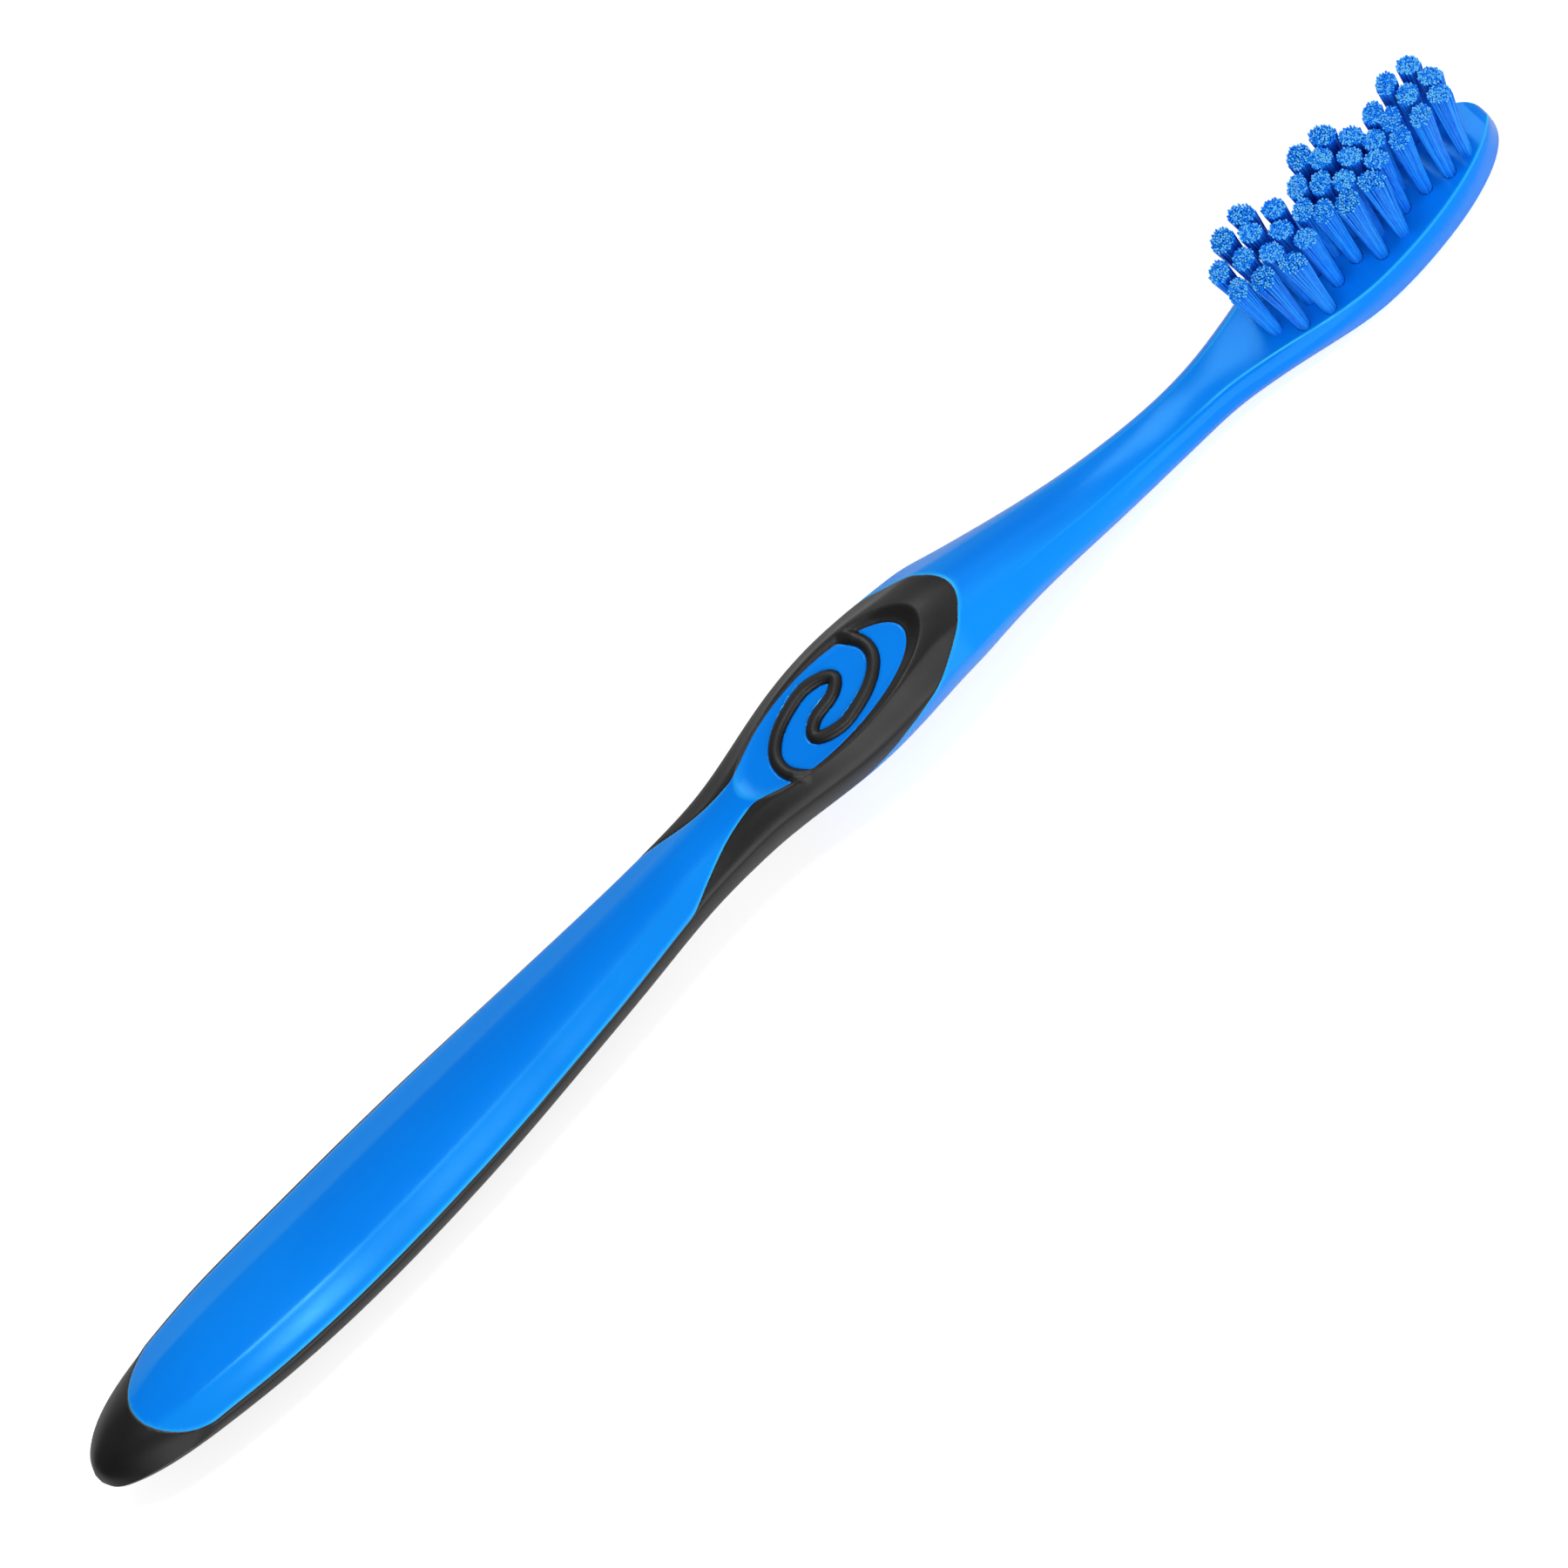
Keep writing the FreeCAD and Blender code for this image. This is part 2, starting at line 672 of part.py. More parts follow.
def tuft(name, place_share, side_share):
    """A tuft with its root in a blind hole, the tool that makes the hole, and the wire anchor in the fold."""
    x = blend(neck_x, tip_x, place_share)
    y = side_share * size("head_width") / 2
    inwards = -math.copysign(size("lean_inwards"), side_share) if side_share else 0
    lean = blend(size("lean_at_neck"), size("lean_at_tip"), place_share)
    reach = (size("bristle_height") + size("overrun")) / size("bristle_height")
    top_level = face_level + size("bristle_height") + size("overrun")
    bundle = doc.addObject("Part::Loft", f"{name}_bundle")
    bundle.Sections = [
        ring(f"{name}_fold", x, y, floor_level, ROOT_RADIUS),
        ring(f"{name}_mouth", x, y, face_level + size("tuft_step"), ROOT_RADIUS),
        ring(f"{name}_top", x + lean * reach, y + inwards * reach, top_level, TOP_RADIUS),
    ]
    bundle.Solid = True
    bundle.Ruled = True
    trimmed = boolean("Common", f"{name}_trimmed", bundle, trim)

    anchor = doc.addObject("Part::Box", f"{name}_anchor")
    anchor.setExpression("Length", "sizes.anchor_length")
    anchor.setExpression("Width", "sizes.anchor_thickness")
    anchor.setExpression("Height", "sizes.anchor_height")
    turn = FreeCAD.Rotation(FreeCAD.Vector(0, 0, 1), ANCHOR_TURN)
    corner = FreeCAD.Vector(-size("anchor_length") / 2, -size("anchor_thickness") / 2, 0)
    middle = FreeCAD.Vector(x, y, floor_level + size("anchor_lift"))
    anchor.Placement = FreeCAD.Placement(middle + turn.multVec(corner), turn)
    threaded = boolean("Cut", name, trimmed, anchor)

    hole = doc.addObject("Part::Cylinder", f"{name}_hole")
    hole.setExpression("Radius", "sizes.tuft_root_width / 2 + sizes.tuft_clearance")
    hole.setExpression("Height", "sizes.hole_depth + sizes.overrun")
    hole.Placement.Base = FreeCAD.Vector(x, y, floor_level)
    return threaded, hole, anchor


tuft_places = []
for number, (place_share, side_share) in enumerate(PAIR_SHARES, 1):
    tuft_places.append((f"tuft_left_{number:02d}", place_share, side_share))
    tuft_places.append((f"tuft_right_{number:02d}", place_share, -side_share))
for number, place_share in enumerate(CENTRE_SHARES, 1):
    tuft_places.append((f"tuft_centre_{number:02d}", place_share, 0))

tufts = []
holes = []
anchors = []
for place in tuft_places:
    bristles, hole, anchor = tuft(*place)
    tufts.append(bristles)
    holes.append(hole)
    anchors.append(anchor)
anchor_group = doc.addObject("Part::Compound", "tuft_anchors")
anchor_group.Links = anchors

# Hard core: what the skin holds of its space, less the ridge's key and the holes with their anchors

core_body = boolean("Common", "core_body", skin, hard_space)
keyed_core = boolean("Cut", "keyed_core", core_body, ridge)
core = boolean("Cut", "handle_core", keyed_core, fused("hole_tools", holes + anchors))

doc.recompute()

# Checks before anything is written

for item in doc.Objects:
    if "Invalid" in item.State or "Error" in item.State:
        raise RuntimeError(f"{item.Name} failed: {item.State}")

FILL_TOLERANCE_SHARE = 0.001
filled = keyed_core.Shape.Volume + grip.Shape.Volume
if abs(filled / ridged_skin.Shape.Volume - 1) > FILL_TOLERANCE_SHARE:
    raise RuntimeError("the core and the grip don't fill the skin between them")

solid_counts = {core: 1, grip: 1, anchor_group: len(anchors), **{item: 1 for item in tufts}}
os.makedirs("parts", exist_ok=True)
for item, count in solid_counts.items():
    shape = item.Shape
    item.Label = item.Name
    if shape.isNull() or not shape.isValid() or len(shape.Solids) != count:
        found = [(round(solid.Volume, 3), solid.BoundBox) for solid in shape.Solids]
        raise RuntimeError(f"{item.Label} should be {count} good solid(s), but holds {found}")
for item in solid_counts:
    item.Shape.exportStep(f"parts/{item.Label}.step")
    print(item.Label, len(item.Shape.Solids), round(item.Shape.Volume, 2))
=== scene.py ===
# %% [markdown]
# # A manual toothbrush, dressed for its picture
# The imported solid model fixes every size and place, and this script never changes them. It builds finer
# surfaces in the same space: a blue hard core, a black rubber grip moulded round it, and tufts of separate
# nylon filaments. All lengths here are in millimetres, and what makes a mesh turns them into metres.

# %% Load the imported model
import math
import bmesh
import bpy
import numpy as np
from mathutils import Matrix, Vector


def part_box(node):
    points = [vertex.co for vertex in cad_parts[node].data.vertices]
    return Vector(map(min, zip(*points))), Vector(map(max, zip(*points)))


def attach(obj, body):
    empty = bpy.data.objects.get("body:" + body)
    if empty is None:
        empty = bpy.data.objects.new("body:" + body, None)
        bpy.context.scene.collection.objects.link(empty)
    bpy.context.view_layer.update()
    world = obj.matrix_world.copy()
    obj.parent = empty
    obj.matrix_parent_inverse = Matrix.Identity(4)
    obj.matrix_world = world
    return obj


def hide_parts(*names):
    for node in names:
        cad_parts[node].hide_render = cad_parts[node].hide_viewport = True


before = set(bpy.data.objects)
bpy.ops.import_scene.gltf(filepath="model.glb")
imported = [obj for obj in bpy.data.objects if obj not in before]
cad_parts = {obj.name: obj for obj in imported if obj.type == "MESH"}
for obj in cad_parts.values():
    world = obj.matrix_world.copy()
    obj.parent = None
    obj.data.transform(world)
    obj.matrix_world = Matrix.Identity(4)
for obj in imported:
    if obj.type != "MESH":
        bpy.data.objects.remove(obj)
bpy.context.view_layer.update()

MM = 0.001


# %% [markdown]
# ## Camera
# The brush lies on its back and is seen from its side, 60 degrees above the table, with a long lens, so
# that its two ends look equally near. The camera is rolled by 45 degrees, which lays the brush along the
# picture's diagonal. Its three axes are written out from those two angles.

# %% Camera
LOOK_AT = Vector((0.12, 0.08, 7.0)) * MM
PICTURE_WIDTH = 152.5 * MM
ELEVATION = math.radians(60)
ROLL = math.radians(45)
LENS, SENSOR = 300, 36
NEAREST, FARTHEST = 0.05, 20


def add_object(name, data):
    """A new object with this data, linked to the scene."""
    item = bpy.data.objects.new(name, data)
    bpy.context.scene.collection.objects.link(item)
    return item


level_right = Vector((1, 0, 0))
level_up = Vector((0, math.sin(ELEVATION), math.cos(ELEVATION)))
right = level_right * math.cos(ROLL) - level_up * math.sin(ROLL)
up = level_right * math.sin(ROLL) + level_up * math.cos(ROLL)
back = right.cross(up)
camera_data = bpy.data.cameras.new("camera")
camera_data.lens, camera_data.sensor_width = LENS, SENSOR
camera_data.clip_start, camera_data.clip_end = NEAREST, FARTHEST
camera = add_object("camera", camera_data)
camera.matrix_world = Matrix((right, up, back)).transposed().to_4x4()
camera.location = LOOK_AT + back * (PICTURE_WIDTH * LENS / SENSOR)
bpy.context.scene.camera = camera
bpy.context.scene.view_settings.view_transform = "Standard"
print("camera stands", round((camera.location - LOOK_AT).length, 3), "m away")

# %% [markdown]
# ## Writing materials as sums
# A material in Blender is a graph of nodes. Long graphs are easier to read as Python expressions, so one
# small class stands for a node's output and turns `+ - * /` into Math nodes. Every other node comes from
# `Graph.node`, which takes the node's type, its settings and what goes into its sockets. Geometry Nodes use
# the same Math nodes, so the class serves them as well.

# %% Graph helper


class Value:
    """One output of a node, with arithmetic."""

    def __init__(self, graph, socket):
        self.graph, self.socket = graph, socket

    def maths(self, operation, *terms):
        return self.graph.node("ShaderNodeMath", {"operation": operation}, dict(enumerate(terms)))

    def __add__(self, other):
        return self.maths("ADD", self, other)

    def __radd__(self, other):
        return self.maths("ADD", other, self)

    def __sub__(self, other):
        return self.maths("SUBTRACT", self, other)

    def __rsub__(self, other):
        return self.maths("SUBTRACT", other, self)

    def __mul__(self, other):
        return self.maths("MULTIPLY", self, other)

    def __rmul__(self, other):
        return self.maths("MULTIPLY", other, self)

    def __truediv__(self, other):
        return self.maths("DIVIDE", self, other)

    def __pow__(self, other):
        return self.maths("POWER", self, other)


class Graph:
    """A node tree that is filled one call at a time."""

    def __init__(self, tree):
        self.tree = tree

    def node(self, kind, settings=None, sockets=None, output=0):
        made = self.tree.nodes.new(kind)
        for name, setting in (settings or {}).items():
            setattr(made, name, setting)
        for name, given in (sockets or {}).items():
            if isinstance(given, Value):
                self.tree.links.new(given.socket, made.inputs[name])
            else:
                made.inputs[name].default_value = given
        return Value(self, made.outputs[output] if made.outputs else None)

    def axis(self, vector, name):
        """One of the three numbers of a vector."""
        return self.node("ShaderNodeSeparateXYZ", {}, {0: vector}, name)

    def mix(self, share, first, second):
        """Colours mixed by a share: a Mix node takes them in sockets 6 and 7 and gives one at output 2."""
        first = first if isinstance(first, Value) else (*first, 1)
        second = second if isinstance(second, Value) else (*second, 1)
        return self.node("ShaderNodeMix", {"data_type": "RGBA"}, {0: share, 6: first, 7: second}, 2)

    def spread(self, value, low, high, to_low=0.0, to_high=1.0):
        """A value's range from low to high turned smoothly into another range."""
        sockets = {"Value": value, "From Min": low, "From Max": high, "To Min": to_low, "To Max": to_high}
        return self.node("ShaderNodeMapRange", {"interpolation_type": "SMOOTHSTEP"}, sockets)


def new_material(name):
    """An empty material, its graph and the Object coordinates in it."""
    material = bpy.data.materials.new(name)
    material.use_nodes = True
    material.node_tree.nodes.clear()
    graph = Graph(material.node_tree)
    return material, graph, graph.node("ShaderNodeTexCoord", output="Object")


def show(graph, shader):
    graph.node("ShaderNodeOutputMaterial", {}, {"Surface": shader})


def show_principled(graph, sockets):
    show(graph, graph.node("ShaderNodeBsdfPrincipled", {}, sockets))


print("graph helper ready")

# %% [markdown]
# ## Blue hard plastic
# The core is glossy injection-moulded plastic, dyed right through. Real mouldings aren't one flat colour: the
# dye has soft clouds, the polish varies, and the skin has a faint orange peel. All three come from noise on
# Object coordinates, so they stay with the brush from any side. On its creases, its border, the lip of the
# dish and the slanted sides, a paler colour is painted in as highlight. A number stored on the mesh says
# where.

# %% Blue plastic
# the third colour is a painted highlight
AZURE, LIGHTER_AZURE, PAINTED_HIGHLIGHT_AZURE = (0.0005, 0.2, 0.84), (0.0012, 0.232, 0.91), (0.03, 0.55, 1.0)


def noise(graph, place, scale, detail=2.0):
    return graph.node("ShaderNodeTexNoise", {}, {"Vector": place, "Scale": scale, "Detail": detail})


def scaled(graph, place, factors):
    return graph.node("ShaderNodeVectorMath", {"operation": "MULTIPLY"}, {0: place, 1: factors})


def relief(graph, height, strength, depth):
    return graph.node("ShaderNodeBump", {}, {"Strength": strength, "Distance": depth, "Height": height})


def stored_number(graph, name):
    """A number that the mesh carries under this name."""
    return graph.node("ShaderNodeAttribute", {"attribute_name": name}, output="Fac")


def blue_plastic(name):
    material, graph, place = new_material(name)
    clouds = noise(graph, scaled(graph, place, (0.4, 1, 1)), scale=90)
    polish = noise(graph, place, scale=260, detail=4)
    peel = noise(graph, place, scale=1900, detail=3)
    scuffs = noise(graph, scaled(graph, place, (0.12, 1, 1)), scale=5200)
    colour = graph.mix(graph.spread(clouds, 0.3, 0.7), AZURE, LIGHTER_AZURE)
    # a paler azure painted in as highlight where the mesh's number says
    colour = graph.mix(stored_number(graph, "painted_highlight"), colour, PAINTED_HIGHLIGHT_AZURE)
    roughness = graph.spread(polish, 0.25, 0.75, 0.16, 0.22) + graph.spread(scuffs, 0.55, 0.8, 0, 0.05)
    show_principled(graph, {
        "Base Color": colour, "Roughness": roughness, "IOR": 1.4, "Specular IOR Level": 0.5,
        "Normal": relief(graph, peel, 0.25, 0.01 * MM), "Specular Tint": (0.2, 0.8, 1, 1),
    })
    return material


plastic = blue_plastic("azure_gloss_plastic")
print("made", plastic.name, "with", len(plastic.node_tree.nodes), "nodes")

# %% [markdown]
# ## Black soft rubber
# The grip is a thermoplastic rubber, moulded over the core. Its mould is finely eroded, which gives a satin
# surface with a grain of about a tenth of a millimetre, and hands polish it a little in patches. A satin
# black shows its form by broad grey reflections, so roughness matters more than colour.

# %% Black rubber
RUBBER, WORN_RUBBER = (0.0034, 0.0033, 0.0032), (0.006, 0.0058, 0.0056)
# dust is real; the light grey is a painted highlight
DUST, PAINTED_RUBBER_HIGHLIGHT = (0.016, 0.016, 0.016), (0.1, 0.1, 0.1)


def black_rubber(name):
    material, graph, place = new_material(name)
    patches = noise(graph, place, scale=150, detail=3)
    grain = noise(graph, place, scale=9000, detail=3)
    dust = noise(graph, place, scale=1400, detail=5)
    colour = graph.mix(graph.spread(patches, 0.3, 0.7), RUBBER, WORN_RUBBER)
    colour = graph.mix(graph.spread(dust, 0.6, 0.8, 0, 0.25), colour, DUST)
    # a light grey painted in as highlight where the mesh's number says
    colour = graph.mix(stored_number(graph, "painted_highlight"), colour, PAINTED_RUBBER_HIGHLIGHT)
    roughness = graph.spread(patches, 0.3, 0.7, 0.32, 0.4) + graph.spread(grain, 0.3, 0.7, 0, 0.06)
    show_principled(graph, {
        "Base Color": colour, "Roughness": roughness, "IOR": 1.5, "Specular IOR Level": 0.38,
        "Normal": relief(graph, grain, 0.4, 0.02 * MM),
    })
    return material


rubber = black_rubber("black_soft_rubber")
print("made", rubber.name, "with", len(rubber.node_tree.nodes), "nodes")

# %% [markdown]
# ## The brush's skin, section by section
# The handle is one flowing form: a slim tail, a belly, a waist, an arched thumb rest, a thin neck and an oval
# head. It could be sculpted by hand, but its sizes are known at eight places, so it is drawn like a boat's
# hull: an outline across the brush at each station, and smooth curves along the brush through all of them.
# A row holds half width, front and back level, the crown of the front facet, and six shares that shape the
# facet, the widest level, the flat back and the roundness of the shoulder.

# %% Stations along the brush
TAIL_X, BELLY_X, WAIST_X, THUMB_X = -94.85, -64.85, -11.85, 10.15
CREST_X, NECK_X, HEAD_X, TIP_X = 20.15, 53.15, 76.65, 94.85
FACE_LEVEL = 4.6
TAIL = (0.6, 6.25, 5.45, 0, 0.45, 0.45, 0.3, 0.55, 0.42, 0.5)
BELLY = (7.2, 8.6, -0.12, 0.35, 0.5, 0.235, 0.32, 0.55, 0.42, 0.5)
WAIST = (4.4, 10.9, 2.85, 0.35, 0.5, 0.225, 0.3, 0.55, 0.42, 0.5)
THUMB = (6.95, 13.5, 2.4, 0.7, 0.7, 0.29, 0.32, 0.55, 0.55, 0.4)
CREST = (6.4, 13.55, 2.43, 1.1, 0.62, 0.3, 0.32, 0.68, 0.72, 0.15)
NECK = (3.2, 4.9, -0.12, 0.15, 0.6, 0.4, 0.4, 0.8, 0.1, 0.15)
HEAD = (6.4, FACE_LEVEL, -0.12, 0, 0.93, 0.35, 0.9, 0.55, 0.42, 0.5)
HEAD_TIP = (0.25, 2.95, 1.65, 0, 0.93, 0.35, 0.9, 0.55, 0.42, 0.5)
# how far along, and how much of the change in width, front and back is done there
BETWEEN = (
    ((0.02, 0.20, 0.44, 0.19), (0.07, 0.40, 0.81, 0.31), (0.15, 0.57, 1.12, 0.44), (0.28, 0.73, 1.26, 0.59),
     (0.45, 0.85, 1.28, 0.73), (0.65, 0.945, 1.2, 0.86), (0.83, 0.985, 1.09, 0.95)),
    ((0.2, 0.02, 0.0, 0.02), (0.4, 0.17, 0.08, 0.16), (0.6, 0.44, 0.27, 0.41), (0.8, 0.74, 0.56, 0.69)),
    ((0.2, 0.02, 0.16, 0.0), (0.38, 0.17, 0.44, 0.10), (0.55, 0.45, 0.68, 0.3), (0.7, 0.71, 0.84, 0.5),
     (0.85, 0.91, 0.94, 0.8)),
    ((0.52, 0.27, 1.6, 1.0),),
    ((0.088, 0.078, 0.066, -0.02), (0.152, 0.19, 0.145, -0.04), (0.303, 0.447, 0.341, 0.02),
     (0.452, 0.651, 0.538, 0.26), (0.61, 0.806, 0.734, 0.57), (0.791, 0.946, 0.89, 0.87)),
    ((0.19, 0.07, 0.25, 1.0), (0.34, 0.25, 0.65, 1.0), (0.48, 0.46, 0.95, 1.0), (0.625, 0.69, 1.0, 1.0),
     (0.77, 0.875, 1.0, 1.0), (0.91, 0.98, 1.0, 1.0)),
    ((0.342, 0.061, 0.0, 0.0), (0.616, 0.222, 0.0, 0.03), (0.809, 0.432, 0.0, 0.12),
     (0.921, 0.635, 0.05, 0.3), (0.974, 0.8, 0.2, 0.52), (0.996, 0.925, 0.55, 0.8)),
)
KEYS = (
    (TAIL_X, TAIL), (BELLY_X, BELLY), (WAIST_X, WAIST), (THUMB_X, THUMB), (CREST_X, CREST),
    (NECK_X, NECK), (HEAD_X, HEAD), (TIP_X, HEAD_TIP),
)
stations = []
for (start_x, start), (end_x, end), shares in zip(KEYS, KEYS[1:], BETWEEN):
    stations.append((start_x, np.array(start)))
    for place, wide, front, low in shares:
        done = np.array([wide, front, low] + [wide] * (len(start) - 3))
        stations.append((start_x + (end_x - start_x) * place, start + (np.array(end) - start) * done))
stations.append((TIP_X, np.array(HEAD_TIP)))
print(len(stations), "stations")

# %% [markdown]
# Each outline is six curves end to end: the crowned front facet, two shoulders, two lower corners and the
# flat back. The points crowd together near the facet's edges, so that the crease there stays crisp and
# still catches the light as a thin line, as it does on polished plastic.

# %% Outline across the brush
FRONT_STEPS, SHOULDER_STEPS, CORNER_STEPS, BACK_STEPS = 62, 26, 12, 8
FRONT_CROWDING, SHOULDER_CROWDING, CORNER_CROWDING = 0.25, 0.6, 0.3
LOWER_PULL_SHARE, INNER_PULL_SHARE = 0.37, 0.33


def bezier(poles, shares):
    """Points of a Bezier curve at shares of its way."""
    layers = [np.outer(1 - shares, pole) + np.outer(shares, pole) for pole in poles]
    while len(layers) > 1:
        layers = [a * (1 - shares[:, None]) + b * shares[:, None] for a, b in zip(layers, layers[1:])]
    return layers[0]


def crowded(steps, amount):
    """Shares from 0 towards 1, closer together near both ends."""
    even = np.arange(steps) / steps
    return even * (1 - amount) + (1 - np.cos(np.pi * even)) / 2 * amount


def outline(section):
    side, front, low, crown, facet, widest, floor, run, drop, reach = section
    facet, floor, widest = side * facet, side * floor, front + (low - front) * widest
    edge = front - crown
    out, down = facet + (side - facet) * run, edge + (widest - edge) * drop
    upper, lower = widest + (edge - widest) * reach, widest + (low - widest) * LOWER_PULL_SHARE
    inner = floor + (side - floor) * INNER_PULL_SHARE
    corner, shoulder = crowded(CORNER_STEPS, CORNER_CROWDING), crowded(SHOULDER_STEPS, SHOULDER_CROWDING)
    return np.vstack([
        bezier([(-facet, edge), (0, front + crown), (facet, edge)], crowded(FRONT_STEPS, FRONT_CROWDING)),
        bezier([(facet, edge), (out, down), (side, upper), (side, widest)], shoulder),
        bezier([(side, widest), (side, lower), (inner, low), (floor, low)], corner),
        bezier([(floor, low), (-floor, low)], np.arange(BACK_STEPS) / BACK_STEPS),
        bezier([(-floor, low), (-inner, low), (-side, lower), (-side, widest)], corner),
        bezier([(-side, widest), (-side, upper), (-out, down), (-facet, edge)], shoulder),
    ])


rings = []
for x, section in stations:
    across = outline(section)
    rings.append(np.column_stack([np.full(len(across), x), across]))
rings = np.array(rings)
print("points round the brush:", rings.shape[1])

# %% [markdown]
# Curves through the stations are natural cubic splines. They run on the distance between outlines and not
# on X, because near the two round ends the skin moves outwards much faster than it moves along. The rows
# stand closest at the thumb rest, where the spiral needs fine faces, and farthest apart on the plain neck.

# %% Rows along the brush
# where each stretch of rows ends, and the distance between its rows
ROW_STEPS = ((TAIL_X + 3, 0.22), (-5.5, 0.45), (25.5, 0.19), (26, 0.45), (NECK_X + 8, 0.7),
             (TIP_X - 2, 0.45), (math.inf, 0.22))
FINE_PLACES = 6000


def spline(knots, values, at):
    """Natural cubic spline through values at knots, read off at other places."""
    knots, at = np.asarray(knots, float), np.asarray(at, float)
    values = np.asarray(values, float)
    shape = values.shape[1:]
    values = values.reshape(len(knots), -1)
    steps = np.diff(knots)
    system, pull = np.eye(len(knots)), np.zeros_like(values)
    for i in range(1, len(knots) - 1):
        system[i, i - 1:i + 2] = steps[i - 1], 2 * (steps[i - 1] + steps[i]), steps[i]
        pull[i] = 6 * ((values[i + 1] - values[i]) / steps[i] - (values[i] - values[i - 1]) / steps[i - 1])
    bends = np.linalg.solve(system, pull)
    cell = np.clip(np.searchsorted(knots, at) - 1, 0, len(knots) - 2)
    width = steps[cell][:, None]
    a = (knots[cell + 1] - at)[:, None] / width
    b = 1 - a
    curve = a * values[cell] + b * values[cell + 1]
    curve += ((a ** 3 - a) * bends[cell] + (b ** 3 - b) * bends[cell + 1]) * width ** 2 / 6
    return curve.reshape(len(at), *shape)


def row_step(x):
    """Distance between rows at a place along the brush."""
    return next(step for end, step in ROW_STEPS if x < end)


gaps = np.linalg.norm(np.diff(rings, axis=0), axis=2).mean(axis=1)
travel = np.concatenate([[0], np.cumsum(gaps)])
fine = np.linspace(0, travel[-1], FINE_PLACES)
fine_x = spline(travel, rings[:, 0, 0], fine)
marks = [0.0]
while marks[-1] < travel[-1]:
    marks.append(marks[-1] + row_step(np.interp(marks[-1], fine, fine_x)))
marks[-1] = travel[-1]
skin = spline(travel, rings, marks)
skin[:, :, 2] = np.maximum(skin[:, :, 2], 0)
print(skin.shape[0], "rows of", skin.shape[1], "points")

# %% [markdown]
# ## The thumb dish
# The thumb rest is hollowed by an oval dish that climbs towards the head. Its rim slopes out gently at the
# handle's end and steeply at the head's, and its floor follows a curve. On a real brush no edge is knife
# sharp, so the two forms are joined by smooth minimum and maximum, which round the meeting line by a chosen
# amount. Along the lip where they meet a highlight is painted, so each point also keeps how near it is to it.

# %% Press the dish into the skin
DISH_X, DISH_LENGTH, DISH_WIDTH, DISH_LEVEL = 8.55, 21.0, 8.2, 12.4
DISH_CLIMB = 1.3
RIM_LEAN, STEEP_RIM_LEAN = 4.6, 2.4
HEADWARD, LONGER, WIDER = (DISH_X, DISH_X + 9), 1.3, 0.9
LOWEST_RISE, HIGHEST_RISE, HALVINGS = -0.85, 4.0, 26
FLOOR_LEVEL, FLOOR_DEPTH = 13.5, 1.1
RIM_ROUNDING, LIP_ROUNDING = 0.16, 0.14
LIP_LINE, LIP_LINE_REACH, LIP_BAND, LIP_BAND_REACH = 0.4, 0.1, 0.22, 0.4
LIP_FADE = (2, 5)
# how far along the dish, and how deep its floor is there
FLOOR_SHARES = ((-0.2, 1.68), (0.0, 1.52), (0.15, 1.38), (0.33, 1.2), (0.5, 1.08), (0.7, 0.97),
                (0.85, 0.86), (1.0, 0.74), (1.2, 0.5))


def soft_min(a, b, radius):
    """The smaller of two heights, rounded where they meet."""
    near = np.clip(0.5 + 0.5 * (b - a) / radius, 0, 1)
    return b + (a - b) * near - radius * near * (1 - near)


def soft_max(a, b, radius):
    return -soft_min(-a, -b, radius)


def dish_surface(x, y):
    """Height of the dish over each place. The rim's rise is found by halving the range that holds it."""
    low, high = np.full(x.shape, LOWEST_RISE), np.full(x.shape, HIGHEST_RISE)
    lean = np.interp(x, HEADWARD, (RIM_LEAN, STEEP_RIM_LEAN))
    half_length = DISH_LENGTH / 2 + np.interp(x, HEADWARD, (0, LONGER))
    half_width = DISH_WIDTH / 2 + np.interp(x, HEADWARD, (0, WIDER))
    for _ in range(HALVINGS):
        rise = (low + high) / 2
        outside = ((x - DISH_X) / (half_length + lean * rise)) ** 2
        outside += (y / (half_width + lean * rise)) ** 2
        low, high = np.where(outside > 1, rise, low), np.where(outside > 1, high, rise)
    rim = DISH_LEVEL + low + (x - DISH_X) * (DISH_CLIMB / DISH_LENGTH)
    places, drops = np.array(FLOOR_SHARES).T
    floor_x = DISH_X + DISH_LENGTH * (places - 0.5)
    floor = spline(floor_x, FLOOR_LEVEL - FLOOR_DEPTH * drops, np.clip(x, floor_x[0], floor_x[-1]))
    return soft_max(rim, floor, RIM_ROUNDING)


front_side = np.zeros(skin.shape[1], bool)
front_side[:FRONT_STEPS + SHOULDER_STEPS] = True
front_side[-SHOULDER_STEPS:] = True
near_dish = (np.abs(skin[:, :, 0] - DISH_X) < DISH_LENGTH) & front_side[None, :]
dish_points = skin[near_dish]
hollow = dish_surface(dish_points[:, 0], dish_points[:, 1])
sunk = soft_min(dish_points[:, 2], hollow, LIP_ROUNDING)
over = dish_points[:, 2] - hollow
# a painted highlight: a thin line on the lip and a fainter band beside it
line = np.clip(1 - np.abs(over) / LIP_LINE_REACH, 0, 1)
band = np.clip(1 - over / LIP_BAND_REACH, 0, 1) * (over > 0)
lip = np.zeros(skin.shape[:2])
lip[near_dish] = np.maximum(LIP_LINE * line, LIP_BAND * band)
lip *= np.interp(skin[:, :, 0], LIP_FADE, (1, 0))
print("deepest press of the dish:", round(float((dish_points[:, 2] - sunk).max()), 2), "mm")
skin[near_dish, 2] = sunk

# %% [markdown]
# The front facet has a crease on each side. A polished mould never makes it knife sharp, and towards the
# tail it fades away under the rubber. Both come from moving points to the middle of their two neighbours: a
# few times beside the creases, and many times over the whole front at the tail.

# %% Round the creases
CREASE_POINTS, CREASE_ROUNDS, TAIL_ROUNDS = 3, 4, 200
TAIL_FADE_END, TAIL_FADE_LENGTH = 12, 7

